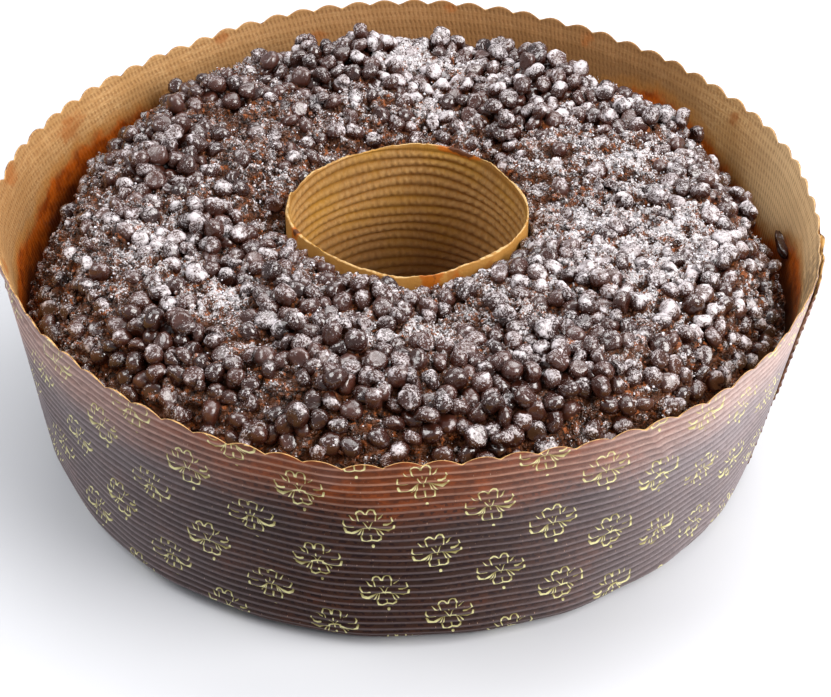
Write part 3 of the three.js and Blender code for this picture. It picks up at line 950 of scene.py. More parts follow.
# %% Dust map
CELL = 0.5
MAP_HALF = 112.0
MAP_CELLS = int(2 * MAP_HALF / CELL)
SUGARY = [(88, 70, 10, 0.28), (20, 60, 16, 0.08), (345, 62, 16, 0.09), (320, 60, 14, 0.06),
          (205, 58, 12, 0.07), (165, 62, 16, 0.02), (350, 88, 20, 0.06), (265, 60, 10, 0.1),
          (40, 90, 20, 0.05), (330, 80, 18, 0.1), (95, 82, 25, 0.06), (60, 62, 14, 0.08),
          (188, 78, 5, 0.07), (200, 75, 5, 0.13), (211, 69, 5, 0.18), (225, 68, 5, 0.26),
          (239, 72, 5, 0.25), (235, 88, 26, -0.12), (145, 85, 24, -0.13)]
PLAIN_SUGAR = 0.38
FULL_DUST = 0.25


def cell_of(points):
    """Row and column of the map's cell for each point."""
    index = ((points[..., :2] + MAP_HALF) / CELL).astype(int)
    return np.clip(index[..., 0], 0, MAP_CELLS - 1), np.clip(index[..., 1], 0, MAP_CELLS - 1)


def spread_highest(field):
    """Each cell takes the highest value of itself and its eight neighbours, which fills small gaps."""
    wide = np.pad(field, 1, mode="edge")
    shifted = [wide[i:i + MAP_CELLS, j:j + MAP_CELLS] for i in range(3) for j in range(3)]
    return np.max(shifted, axis=0)


def between_corners(points, faces):
    """Points over the faces of every copy: corners, edge middles and the middle of each face."""
    corners = points.reshape(-1, 3)[faces]
    middles = (corners + np.roll(corners, -1, 1)) / 2
    return np.concatenate([corners.reshape(-1, 3), middles.reshape(-1, 3), corners.mean(1)])


def sugar_amount(angle, radius):
    """How much sugar fell on each place: a base with heavier drifts, and less in two places."""
    return PLAIN_SUGAR + plan_bumps(SUGARY, angle, radius)


cell_middle = (np.arange(MAP_CELLS) + 0.5) * CELL - MAP_HALF
east, north = np.meshgrid(cell_middle, cell_middle, indexing="ij")
sky = crumb_height(np.arctan2(north, east), np.hypot(east, north)) - 1.0
dome_points = core_points[len(UP_SHARES):-len(DOWN_SHARES)].reshape(-1, 3)
np.maximum.at(sky, cell_of(dome_points), dome_points[:, 2])
sky = spread_highest(sky)
crumb_top = sky.copy()
for group in drop_faces:
    shell = between_corners(drop_points, group)
    np.maximum.at(sky, cell_of(shell), shell[:, 2])
sky = spread_highest(sky)


def dust_values(points, depth):
    """Local amount of sugar, times a step from 1 near the highest point of a cell to 0 a depth below it."""
    flat = points.reshape(-1, 3)
    seen_from_above = soft_step(flat[:, 2] - sky[cell_of(flat)], -depth, -FULL_DUST)
    return seen_from_above * sugar_amount(*polar(flat))


drop_dust = dust_values(drop_points, depth=2.4)
drop_dust = drop_dust * np.repeat(draw.uniform(0.5, 1.3, DROP_COUNT), len(template))
core_dust = 1.1 * dust_values(core_points, depth=3.0)
print("mean dust on the drops", drop_dust.mean().round(2), "and on the crumb", core_dust.mean().round(2))

# %% Crumb and drops as pieces
core_faces = [grid_faces(*core_points.shape[:2])]
core = make_piece("cake_crumb", core_points.reshape(-1, 3), core_faces,
                  attributes={"dust": core_dust})
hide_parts("cake")
tone = np.repeat(draw.uniform(0, 1, DROP_COUNT), len(template))
drops = make_piece("chocolate_drops", drop_points.reshape(-1, 3), drop_faces,
                   attributes={"dust": drop_dust, "tone": tone})

# %% [markdown]
# ## Broken drops and loose crumbs
#
# Some of the drops broke before baking. A broken one is the same button with everything past a plane
# pushed back onto it, which gives a flat, slightly rough break. One of them melted onto the wall at the
# right. Loose crumbs are dented lumps of 20 faces. They lie on the crumb itself, mostly where it is bare,
# and make its surface granular.

# %% Broken drops
SHARD_COUNT = 150
BREAK_AT = 0.35
WALL_BIT_AZIMUTH, WALL_BIT_HEIGHT, WALL_BIT_OFF = 4.5, 48.5, 0.9
WALL_BIT_SCALE = (1.15, 2.2, 0.5)


def anywhere(angle, radius):
    """The same chance for a broken drop everywhere."""
    return 0.5 + 0 * angle * radius


shard_angle, shard_radius = scatter(SHARD_COUNT, anywhere, SEED["broken places"])
shard_ground = around(shard_angle, shard_radius, 0)
shard_ground[:, 2] = sky[cell_of(shard_ground)] - draw.uniform(0.2, 1.6, SHARD_COUNT)
shard_scale = draw.uniform(0.7, 1.0, (SHARD_COUNT, 1)) * draw.uniform(0.8, 1.05, (SHARD_COUNT, 3))
shard = template.copy()
shard[:, 0] = np.minimum(shard[:, 0], BREAK_AT + 0.25 * np.sin(2.1 * template[:, 1] + template[:, 2]))
shard_turn = frames(draw.normal(size=(SHARD_COUNT, 3)), draw.uniform(0, 2 * np.pi, SHARD_COUNT))
on_wall = np.radians(WALL_BIT_AZIMUTH)
wall_bit_radius = wall_radius(on_wall, WALL_BIT_HEIGHT) - PAPER - WALL_BIT_OFF
shard_ground[0] = around(on_wall, wall_bit_radius, WALL_BIT_HEIGHT)
shard_scale[0] = WALL_BIT_SCALE
shard_turn[:1] = frames(-shard_ground[:1] * [1, 1, 0], np.zeros(1))
shard_points = place_copies(shard, shard_ground, shard_turn, shard_scale, 0.2, SEED["broken dents"])
shard_dust = dust_values(shard_points, depth=2.2)
shard_dust[:len(shard)] = 0.0
shard_tone = np.repeat(draw.uniform(0, 1, SHARD_COUNT), len(shard))
shards = make_piece("chocolate_shards", shard_points.reshape(-1, 3),
                    repeated(template_faces, SHARD_COUNT, len(shard)),
                    attributes={"dust": shard_dust, "tone": shard_tone})


# %% Loose crumbs
CRUMB_COUNT = 8200
ON_PLANE = 1e-6


def lump():
    """Template of a crumb: an icosahedron of unit radius, from three golden rectangles."""
    golden = (1 + np.sqrt(5)) / 2
    sign = np.array([[-1, 1], [1, 1], [-1, -1], [1, -1]], float)
    flat = np.concatenate([sign * [1, golden], np.zeros((4, 1))], 1)
    points = np.concatenate([flat, np.roll(flat, 1, 1), np.roll(flat, 2, 1)])
    points /= np.linalg.norm(points, axis=1)[:, None]
    return points


def hull_faces(points):
    """All triples of points whose plane has every other point behind it, turned to face outwards."""
    faces = []
    count = len(points)
    for a in range(count):
        for b in range(a + 1, count):
            for c in range(b + 1, count):
                normal = np.cross(points[b] - points[a], points[c] - points[a])
                side = (points - points[a]) @ normal
                if side.max() < ON_PLANE:
                    faces.append((a, b, c))
                elif side.min() > -ON_PLANE:
                    faces.append((a, c, b))
    return np.array(faces)


def off_drops(angle, radius):
    """How likely a loose crumb is: less where drops are dense."""
    return 1 - 0.8 * drop_density(angle, radius)


lump_points = lump()
lump_faces = hull_faces(lump_points)
crumb_angle, crumb_radius = scatter(CRUMB_COUNT, off_drops, SEED["crumb places"])
crumb_ground = around(crumb_angle, crumb_radius, 0)
crumb_size = draw.gamma(3, 0.16, CRUMB_COUNT)[:, None].clip(0.2, 1.2)
crumb_size = crumb_size * draw.uniform(0.6, 1.1, (CRUMB_COUNT, 3))
crumb_ground[:, 2] = crumb_top[cell_of(crumb_ground)] - draw.uniform(-0.1, 0.5, CRUMB_COUNT) - 0.1
crumb_turn = frames(draw.normal(size=(CRUMB_COUNT, 3)), draw.uniform(0, 2 * np.pi, CRUMB_COUNT))
crumb_points = place_copies(lump_points, crumb_ground, crumb_turn, crumb_size, 0.25, SEED["crumb dents"])
crumbs = make_piece("loose_crumbs", crumb_points.reshape(-1, 3),
                    repeated([lump_faces], CRUMB_COUNT, len(lump_points)),
                    attributes={"dust": 1.05 * dust_values(crumb_points, depth=2.6)})

# %% [markdown]
# ## Clumps of sugar
#
# Most of the sugar is thinner than a sheet of paper and belongs in the shader. Where it drifted together it
# makes small white clumps with a shape of their own. These are loose octahedra, kept where the bare crumb
# is the highest surface.

# %% Sugar clumps
CLUMP_TRIES = 9000
CLUMP_SINK, CLUMP_ABOVE = 0.12, 0.7


def in_drifts(angle, radius):
    """How likely a clump is: more where more sugar fell."""
    return sugar_amount(angle, radius) ** 1.5


octahedron = np.array([[1, 0, 0], [-1, 0, 0], [0, 1, 0], [0, -1, 0], [0, 0, 1], [0, 0, -1]], float)
clump_angle, clump_radius = scatter(CLUMP_TRIES, in_drifts, SEED["clump places"])
clump_ground = around(clump_angle, clump_radius, 0)
clump_ground[:, 2] = sky[cell_of(clump_ground)] - CLUMP_SINK
clump_ground = clump_ground[clump_ground[:, 2] < crumb_top[cell_of(clump_ground)] + CLUMP_ABOVE]
clump_count = len(clump_ground)
clump_size = draw.gamma(2.5, 0.065, clump_count)[:, None].clip(0.1, 0.45)
clump_size = clump_size * draw.uniform(0.6, 1.2, (clump_count, 3))
clump_turn = frames(draw.normal(size=(clump_count, 3)), draw.uniform(0, 2 * np.pi, clump_count))
clump_points = place_copies(octahedron, clump_ground, clump_turn, clump_size, 0.1, SEED["clump dents"])
clumps = make_piece("icing_sugar", clump_points.reshape(-1, 3),
                    repeated([hull_faces(octahedron)], clump_count, len(octahedron)))

# %% [markdown]
# ## Shader maths as Python
#
# A material is a tree of nodes. Written node by node it is long and hard to read, so two small classes help.
# A `Field` is one output socket: adding, multiplying and comparing fields adds Math nodes. A `Finish` is a
# material in the making: its one `node` method adds any node, sets its settings, then its sockets.


# %% Fields and finishes
def socket_named(sockets, key):
    """A socket by its place, its name or its identifier."""
    if isinstance(key, int):
        return sockets[key]
    return next(socket for socket in sockets if key in (socket.identifier, socket.name))


def paint(red, green, blue):
    """A display colour from 0 to 255 as the linear colour that shaders take."""
    display = np.array([red, green, blue]) / 255
    linear = np.where(display <= 0.04045, display / 12.92, ((display + 0.055) / 1.055) ** 2.4)
    return (*linear.tolist(), 1.0)


class Field:
    """A number, colour or vector that changes over a surface. Arithmetic on it adds Math nodes."""

    def __init__(self, finish, socket):
        self.finish = finish
        self.socket = socket

    def math(self, operation, *others, **settings):
        return self.finish.node("ShaderNodeMath", {"operation": operation, **settings}, [self, *others])

    def __add__(self, other):
        return self.math("ADD", other)

    def __mul__(self, other):
        return self.math("MULTIPLY", other)

    def __sub__(self, other):
        return self.math("SUBTRACT", other)

    def __rsub__(self, other):
        return self.finish.node("ShaderNodeMath", {"operation": "SUBTRACT"}, [other, self])

    def __abs__(self):
        return self.math("ABSOLUTE")

    def least(self, other):
        return self.math("MINIMUM", other)

    def most(self, other):
        return self.math("MAXIMUM", other)

    def wrapped(self, half):
        """The value repeated so that it stays between -half and half."""
        return self.math("WRAP", half, -half)

    def step(self, low, high):
        """0 below low and 1 above high, with a soft step between; high may be the lower one."""
        inputs = {"Value": self, "From Min": low, "From Max": high}
        return self.finish.node("ShaderNodeMapRange", {"interpolation_type": "SMOOTHSTEP"}, inputs)


class Finish:
    """A material in the making, with short names for the nodes that these finishes use."""

    def __init__(self, name, **constants):
        self.material = bpy.data.materials.new(name)
        self.material.use_nodes = True
        self.tree = self.material.node_tree
        self.shader = self.tree.nodes["Principled BSDF"]
        for key, value in constants.items():
            self.shader.inputs[key.replace("_", " ")].default_value = value

    def node(self, kind, settings, inputs, output=0):
        """Adds a node: its settings first, then a value or a link for each socket; gives one output."""
        made = self.tree.nodes.new(kind)
        for key, value in settings.items():
            setattr(made, key, value)
        for key, value in inputs.items() if isinstance(inputs, dict) else enumerate(inputs):
            target = socket_named(made.inputs, key)
            if isinstance(value, Field):
                self.tree.links.new(value.socket, target)
            else:
                target.default_value = value
        return Field(self, socket_named(made.outputs, output))

    def attribute(self, name):
        return self.node("ShaderNodeAttribute", {"attribute_name": name}, {}, "Fac")

    def place(self):
        """Place on the object, in metres."""
        return self.node("ShaderNodeTexCoord", {}, {}, "Object")

    def uv(self, name):
        """The two values of a UV map, in mm."""
        both = self.node("ShaderNodeUVMap", {"uv_map": name}, {})
        return self.part(both, 0), self.part(both, 1)

    def part(self, vector, axis):
        return self.node("ShaderNodeSeparateXYZ", {}, [vector], axis)

    def joined(self, x, y, z=0.0):
        return self.node("ShaderNodeCombineXYZ", {}, [x, y, z])

    def vector(self, operation, inputs, output=0):
        return self.node("ShaderNodeVectorMath", {"operation": operation}, inputs, output)

    def noise(self, where, size, detail=2.0, roughness=0.5, unit=1 / METRES):
        """Noise from 0 to 1 with features of a size in mm; unit is how many mm one step of where is."""
        inputs = {"Vector": where, "Scale": unit / size, "Detail": detail, "Roughness": roughness}
        return self.node("ShaderNodeTexNoise", {}, inputs)

    def mottle(self, flat, size, detail=2.0, roughness=0.5):
        """Noise over a place on a flat sheet, which is in mm already."""
        return self.noise(flat, size, detail, roughness, unit=1.0)

    def cells(self, where, size, output="Distance"):
        """A cell pattern with cells of a size in mm: the distance to a cell's middle, or its own colour."""
        return self.node("ShaderNodeTexVoronoi", {}, {"Vector": where, "Scale": 1 / METRES / size}, output)

    def blend(self, low, high, share):
        """A colour between two, by a share from 0 to 1."""
        inputs = {"Factor_Float": share, "A_Color": low, "B_Color": high}
        return self.node("ShaderNodeMix", {"data_type": "RGBA"}, inputs, "Result_Color")

    def coats(self, colour, *coats):
        """A colour under coats of (colour, share from 0 to 1), the last one on top."""
        for coat, share in coats:
            colour = self.blend(colour, coat, share)
        return colour

    def feed(self, socket, field):
        self.tree.links.new(field.socket, self.shader.inputs[socket])

    def bump(self, height, distance, strength=1.0):
        """Feeds Normal with a bump of a height field, of the given depth in mm."""
        inputs = {"Height": height, "Distance": distance * METRES, "Strength": strength}
        self.feed("Normal", self.node("ShaderNodeBump", {}, inputs))

    def cover(self, *pieces):
        """Puts the material on pieces, and says how many nodes it took."""
        for piece in pieces:
            piece.data.materials.clear()
            piece.data.materials.append(self.material)
        print(f"{self.material.name}: {len(self.tree.nodes)} nodes, on {[piece.name for piece in pieces]}")


print("the grey of 128 is", round(paint(128, 128, 128)[0], 3), "in linear light")

# %% [markdown]
# ## The printed ornament
#
# The print is a common scroll-and-petal ornament in pale gold, in staggered rows on a rectangle of 28.9 by
# 25 mm. It is drawn in the shader as distances: a stroke is the distance to a line less a radius that
# tapers along it, and curls are chains of strokes. The motif is symmetrical, so one half is drawn, on the
# absolute value of x.

# %% Ornament
REPEAT_X, REPEAT_Y = 28.9, 25.0
STROKES = [
    ((0, 4.9), (0.35, 5.75), 0.3, 0.14),
    ((0.35, 5.75), (0.75, 6.2), 0.14, 0.15),
    ((0.75, 6.2), (1.3, 6.38), 0.15, 0.16),
    ((1.3, 6.38), (2.0, 6.1), 0.16, 0.17),
    ((2.0, 6.1), (2.35, 5.1), 0.17, 0.18),
    ((2.35, 5.1), (1.9, 2.85), 0.18, 0.1),
    ((4.0, 4.7), (3.25, 3.5), 0.05, 0.17),
    ((3.25, 3.5), (2.65, 3.15), 0.17, 0.1),
    ((5.6, 2.9), (5.83, 1.9), 0.12, 0.18),
    ((5.83, 1.9), (5.2, 0.85), 0.18, 0.15),
    ((5.2, 0.85), (4.3, 0.65), 0.15, 0.2),
    ((4.3, 0.65), (3.6, 0.75), 0.2, 0.22),
    ((5.88, 0.0), (5.5, -1.0), 0.24, 0.28),
    ((5.5, -1.0), (4.3, -1.5), 0.28, 0.32),
    ((4.3, -1.5), (2.7, -0.9), 0.32, 0.2),
    ((2.7, -0.9), (1.1, 0.1), 0.2, 0.08),
    ((0, 0.35), (1.5, 0.15), 0.18, 0.09),
    ((0.25, 0.5), (1.1, 1.95), 0.08, 0.12),
    ((0, 1.9), (0, 2.65), 0.1, 0.16),
    ((0, 0.3), (0, -0.8), 0.1, 0.15),
    ((1.2, 0.1), (1.9, -2.1), 0.08, 0.12),
    ((1.3, 0.1), (3.0, -2.35), 0.08, 0.15),
    ((1.9, -2.1), (2.38, -3.2), 0.12, 0.17),
    ((2.38, -3.2), (2.15, -4.3), 0.17, 0.2),
    ((2.15, -4.3), (1.3, -4.62), 0.2, 0.16),
    ((1.3, -4.62), (0, -4.25), 0.16, 0.13),
    ((0, -2.6), (0, -4.3), 0.26, 0.09),
    ((0, -6.6), (0, -6.75), 0.36, 0.33),
]


def stroke(finish, point, start, end, start_radius, end_radius):
    """Distance in mm to a tapered stroke: to the nearest point of its line, less the radius there."""
    start, along = np.array([*start, 0.0]), np.array([*end, 0.0]) - np.array([*start, 0.0])
    offset = finish.vector("SUBTRACT", [point, start.tolist()])
    share = finish.vector("DOT_PRODUCT", [offset, (along / (along @ along)).tolist()], "Value")
    share = share.math("ADD", 0.0, use_clamp=True)
    near = finish.vector("SCALE", {"Vector": along.tolist(), "Scale": share})
    distance = finish.vector("LENGTH", [finish.vector("SUBTRACT", [offset, near])], "Value")
    return distance - share.math("MULTIPLY_ADD", end_radius - start_radius, start_radius)


def ornament(finish, across, along):
    """Distance in mm to the nearest line of the ornament, from a place on the flat printed sheet."""
    half_x, half_y = REPEAT_X / 2, REPEAT_Y / 2
    first_x, first_y = across.wrapped(half_x), along.wrapped(half_y)
    second_x, second_y = (across + half_x).wrapped(half_x), (along + half_y).wrapped(half_y)
    diamond = abs(first_x) * (2 / REPEAT_X) + abs(first_y) * (2 / REPEAT_Y)
    outer_one = diamond.math("GREATER_THAN", 1.0)
    x = abs(first_x + outer_one * (second_x - first_x))
    y = first_y + outer_one * (second_y - first_y)
    point = finish.joined(x, y)
    lines = [stroke(finish, point, *line) for line in STROKES]
    nearest_line = lines[0]
    for line in lines[1:]:
        nearest_line = nearest_line.least(line)
    return nearest_line


print("half an ornament has", len(STROKES), "strokes")

# %% [markdown]
# ## Finish of the printed paper
#
# Dark ink on kraft is not one brown. The crests are lighter and pinker, partly rubbed and partly a painted
# shine, and the valleys darker, partly painted shade. Where fat has soaked in, the valleys are nearly clear,
# and above the cake's shoulder they are painted orange as a painted glow of light through the paper. The ink
# has a soft shine. The cut edge shows the bare kraft.


# %% Printed paper
# Pairs of colours: of ink in the dark and in the warm zone, the warm one a painted glow of light through the
# paper; of gold in the valleys and on the crests, the first darker as painted shade and the second lighter
# as a painted highlight; and of the sheet's back where it is soiled and where it is clean.
CREST_INK = paint(103, 91, 94), paint(170, 130, 118)
GREASY_CREST = paint(86, 73, 73), paint(152, 104, 80)
VALLEY_INK = paint(35, 25, 25), paint(106, 72, 62)
GREASY_VALLEY = paint(38, 22, 13), paint(98, 42, 3)
PAINTED_SHEEN = paint(172, 160, 162), paint(204, 182, 176)
GOLD = paint(162, 150, 92), paint(226, 220, 162)
SHEET_BACK = paint(96, 58, 34), paint(206, 166, 104)


def crest_of(path):
    """1 on the crests of the flutes and 0 in the valleys, as a field."""
    return (path * (2 * np.pi / FLUTE)).math("COSINE") * 0.5 + 0.5


def ink(finish, run, path, grease):
    """Ink under a painted sheen: crests over valleys, each by zone and by grease, with dark dots in the
    valleys.
    """
    flat, crest = finish.joined(run, path), crest_of(path)
    ragged = finish.mottle(flat, 13, 3) * 1.3 + finish.mottle(flat, 2.2) * 0.4 - 0.85
    zone = finish.attribute("warm") + ragged
    warm, seeped = zone.step(-1.15, 0.75), zone.step(-1.45, 0.7)
    # The warm colours and this orange glow are painted light through the paper above the cake's shoulder.
    glow = finish.mottle(flat, 7).step(0.45, 0.65) * grease * warm
    in_row = finish.mottle(finish.joined(run * 0.55, path * 0.4), 0.8, 1)
    dots = in_row.step(0.5, 0.58) * crest.step(0.6, 0.25) * (1 - warm * 0.75)
    # Valleys are painted darker and crests lighter: partly the ink and the fat, partly painted shade and a
    # painted shine.
    valleys = finish.coats(
        finish.blend(*VALLEY_INK, warm),
        (finish.blend(*GREASY_VALLEY, seeped), grease),
        (paint(150, 66, 4), glow * 0.5),
        (paint(26, 1, 0), dots * (grease * 0.9 + 0.1)))
    crests = finish.blend(finish.blend(*CREST_INK, warm), finish.blend(*GREASY_CREST, warm), grease)
    # A painted sheen: the ink is painted paler where light shines on the paper.
    sheen = (finish.attribute("painted_sheen") * (crest * 0.3 + 0.42)).least(0.85)
    return finish.coats(valleys, (crests, crest.step(0.66, 0.99)), (finish.blend(*PAINTED_SHEEN, warm), sheen))


def printed_paper():
    """The ink under fibres, nicks and the gold print, then the kraft back and the cut end of the sheet."""
    finish = Finish("printed_paper", Roughness=0.5, Specular_IOR_Level=0.06)
    run, path = finish.uv("wall")
    flat, crest = finish.joined(run, path), crest_of(path)
    grease = finish.attribute("grease") * finish.mottle(flat, 24).step(0.12, 0.42)
    fibres = finish.mottle(finish.joined(run, path * 3.0), 2.2, 4, 0.7)
    nicks = finish.mottle(finish.joined(run * 2.2, path), 0.8, 0).step(0.79, 0.84) * crest
    worn = finish.mottle(flat, 0.7).step(0.22, 0.48)
    print_mask = ornament(finish, *finish.uv("print")).step(0.07, -0.05)
    # The gold is painted fainter in the valleys as painted shade and lighter on the crests as a painted
    # highlight.
    print_mask = print_mask * (worn * 0.35 + 0.6) * (crest * 0.25 + 0.75)
    scuffed = finish.mottle(flat, 2.4)
    is_back = (finish.attribute("back") + scuffed * 0.3).step(0.45, 0.75)
    finish.feed("Base Color", finish.coats(
        ink(finish, run, path, grease),
        (paint(40, 22, 18), fibres.step(0.58, 0.3) * 0.3),
        (paint(196, 160, 140), nicks * 0.7),
        (finish.blend(*GOLD, crest), print_mask),
        (finish.blend(*SHEET_BACK, scuffed.step(0.35, 0.55)), is_back),
        (paint(104, 66, 44), finish.attribute("end") * 0.9)))
    finish.feed("Roughness", fibres * 0.25 + 0.3 - grease * 0.05)
    grain = finish.noise(finish.place(), 0.35) * 0.5 + finish.mottle(finish.joined(run, path * 0.3), 1.3)
    finish.bump(grain, 0.12, 0.8)
    return finish


printed_paper().cover(outer)

# %% [markdown]
# ## Finish of the kraft paper
#
# Kraft is unbleached, so its fibres show as fine streaks and flecks. Crimping it into a cone presses small
# level nicks across the flutes, which look woven. Fat from the cake turns it orange and clear.


# %% Kraft of the liner
CRIMP_PITCH = 1.45


def kraft_colour(finish, flat):
    """Tan of unbleached paper with fibres and flecks, for a place in mm on the sheet."""
    stretched = finish.joined(finish.part(flat, 0) * 0.5, finish.part(flat, 1) * 2.2)
    fibre = finish.mottle(stretched, 1.4, 4, 0.65)
    cloud = finish.mottle(flat, 14, 3)
    flecks = finish.mottle(flat, 0.5, 1).step(0.73, 0.8)
    return finish.coats(
        finish.blend(paint(182, 134, 82), paint(212, 170, 116), fibre.step(0.3, 0.7)),
        (paint(184, 138, 84), cloud.step(0.4, 0.65) * 0.6),
        (paint(118, 84, 48), flecks * 0.5))


def kraft_liner():
    """Kraft with flute lines and crimps, stained orange near the cake and scorched in patches."""
    finish = Finish("kraft_liner", Roughness=0.62, Specular_IOR_Level=0.35)
    run, path = finish.uv("wall")
    flat, pale = finish.joined(run, path), finish.attribute("pale")
    wobble = finish.mottle(flat, 3, 1) * 2.2
    crimp = ((run + wobble * 0.35) * (2 * np.pi / CRIMP_PITCH) + path * 0.9).math("SINE") * 0.5 + 0.5
    woven = (crest_of(path).step(0.2, 0.9) * 0.65 + 0.35) * (crimp.step(0.3, 0.8) * 0.85 + 0.15)
    ragged = finish.mottle(flat, 5, 3) * 0.8 + finish.mottle(flat, 1.4) * 0.25 - 0.52
    stain = finish.attribute("stain") + ragged
    orange = finish.blend(paint(192, 92, 20), paint(134, 56, 12), finish.mottle(flat, 4, 3).step(0.35, 0.7))
    splashed = finish.mottle(finish.joined(run * 0.6, path), 2.6, 4, 0.6)
    scorch = finish.attribute("scorch") * 0.9 + splashed * 1.7 - 1.0
    soot = finish.attribute("soot") * finish.mottle(flat, 2.5, 3).step(0.3, 0.6)
    # The pale field paints the kraft lighter at the right, a painted glow of light through the paper, and
    # darker at the back and the left.
    finish.feed("Base Color", finish.coats(
        kraft_colour(finish, flat),
        (paint(232, 196, 148), pale.step(0.0, 1.0) * 0.7),
        (paint(132, 88, 46), pale.step(0.0, -0.9) * 0.75),
        (paint(120, 76, 38), woven * 0.38),
        (paint(178, 118, 52), stain.step(-0.35, 0.25) * 0.75),
        (orange, stain.step(0.1, 0.6)),
        (paint(74, 30, 10), stain.step(0.9, 1.7) * 0.8),
        (paint(160, 94, 40), scorch.step(0.15, 0.7) * 0.7),
        (paint(92, 80, 62), soot * 0.7)))
    finish.feed("Roughness", 0.62 - stain.step(0.1, 0.7) * 0.27)
    finish.bump(woven * -0.8 + finish.mottle(flat, 0.4) * 0.4, 0.22, 0.9)
    return finish


kraft_liner().cover(inner)


# %% Kraft of the tube
def kraft_tube():
    """Kraft: creases darkened as painted shade, painted ridge highlights, a pale rim, brown cake marks on
    rim and outside.
    """
    finish = Finish("kraft_tube", Roughness=0.6, Specular_IOR_Level=0.35)
    run, turn = finish.uv("wall")
    place = finish.place()
    # The rim rows are painted pale: partly the bare cut edge, partly a painted highlight along the edge.
    inside, rim = finish.attribute("inside").step(0.4, 0.6), finish.attribute("rim")
    fluted = inside * (1 - rim)
    crease = abs((turn * np.pi).math("SINE"))
    ragged = finish.mottle(finish.joined(run * 1.2, turn * 1.6), 1.2, 3)
    # Painted shade darkens the creases between the flutes, and a painted highlight lights the ridge tops.
    crease_shade = (crease + ragged * 1.6 - 0.75).step(1.0, -0.1) * fluted
    ridge_highlight = (crease + ragged * 0.8 - 0.4).step(0.5, 1.0) * fluted
    nick = finish.mottle(finish.joined(run * 1.4, turn * 2.4), 1.0).step(0.5, 0.68) * fluted
    golden = finish.noise(place, 16).step(0.4, 0.65) * inside
    # deep is painted shade: the inside darkens towards the foot of the tube.
    deep = finish.attribute("depth").step(0.15, 0.85) * inside
    spots = finish.noise(place, 2).step(0.7, 0.75)
    spill = finish.noise(place, 7, 3).step(0.58, 0.66) * (1 - inside) + spots * 0.5
    marks = finish.attribute("marks") + (finish.noise(place, 1.6, 3) * 0.7 - 0.35)
    finish.feed("Base Color", finish.coats(
        kraft_colour(finish, finish.vector("SCALE", {"Vector": place, "Scale": 1 / METRES})),
        (paint(142, 101, 43), 0.68),
        (paint(132, 86, 18), crease_shade * 0.66),
        (paint(160, 106, 36), nick * 0.5),
        (paint(178, 130, 40), golden * 0.5),
        (paint(200, 160, 106), ridge_highlight * 0.28),
        (paint(96, 52, 8), deep * 0.65),
        (paint(180, 126, 54), (1 - inside) * 0.75),
        (paint(150, 84, 22), spill * 0.45),
        (paint(214, 180, 124), rim * finish.noise(place, 1.4).step(0.35, 0.55) * 0.75),
        (paint(176, 92, 14), marks.step(0.15, 0.35) * 0.9),
        (paint(66, 34, 16), marks.step(0.5, 0.75) * 0.9)))
    finish.feed("Roughness", 0.62 - finish.attribute("marks").step(0.1, 0.6) * 0.25)
    fine = finish.mottle(finish.joined(run, turn * 3.0), 0.5)
    finish.bump(ragged * 0.7 + fine * 0.3, 0.25, 0.8)
    return finish


kraft_tube().cover(tube_piece)


# %% Board of the base
def base_board():
    """Grey-brown board of the base disc, with mixed fibres."""
    finish = Finish("base_board", Roughness=0.85, Specular_IOR_Level=0.25)
    place = finish.place()
    fibre = finish.noise(place, 1.2, 5, 0.7)
    flecks = finish.noise(place, 0.6, 1).step(0.7, 0.8)
    finish.feed("Base Color", finish.coats(
        finish.blend(paint(148, 116, 76), paint(176, 146, 102), fibre.step(0.35, 0.65)),
        (paint(96, 66, 38), flecks * 0.6)))
    finish.bump(fibre, 0.1)
    return finish


base_board().cover(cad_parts["paper_base"])

# %% [markdown]
# ## Sugar, crumb and chocolate
#
# Sugar is a layer over two finishes, so one function makes it. The dust value of the mesh sets a threshold,
# and noise that beats it is sugar: coarse noise gives soft patches, fine noise single grains. The rough
# crumb holds more of it than the smooth drops. Under it a thin haze greys the brown.


# %% Sugar over a finish
SWIRLS_PER_METRE, SWIRL_REACH = 900.0, 1.2


def sugared(finish, base, roughness, patch_size, share, grains, white):
    """Feeds colour and roughness with a base under patches and grains of sugar, and gives the sugar.

    Patches have a size in mm, share is how much of the dust holds, and grains how white single grains are.
    """
    place = finish.place()
    drift = finish.noise(place, 5.5, 2)
    level_of_dust = (finish.attribute("dust") * (drift * 1.7 + 0.3) * share).least(0.6)
    fine = finish.noise(place, 0.45, 2, 0.6)
    patch = (finish.noise(place, patch_size, 4, 0.65) + level_of_dust * 0.5 - 0.71).step(0.0, 0.15)
    grain = (fine + level_of_dust * 0.45 - 0.72).step(-0.01, 0.05)
    sugar = (patch * (fine * 1.1 + 0.25)).most(grain * grains)
    hazy = finish.blend(base, paint(146, 124, 122), level_of_dust * 0.12)
    finish.feed("Base Color", finish.blend(hazy, white, sugar))
    finish.feed("Roughness", roughness + sugar * 0.5)
    return sugar


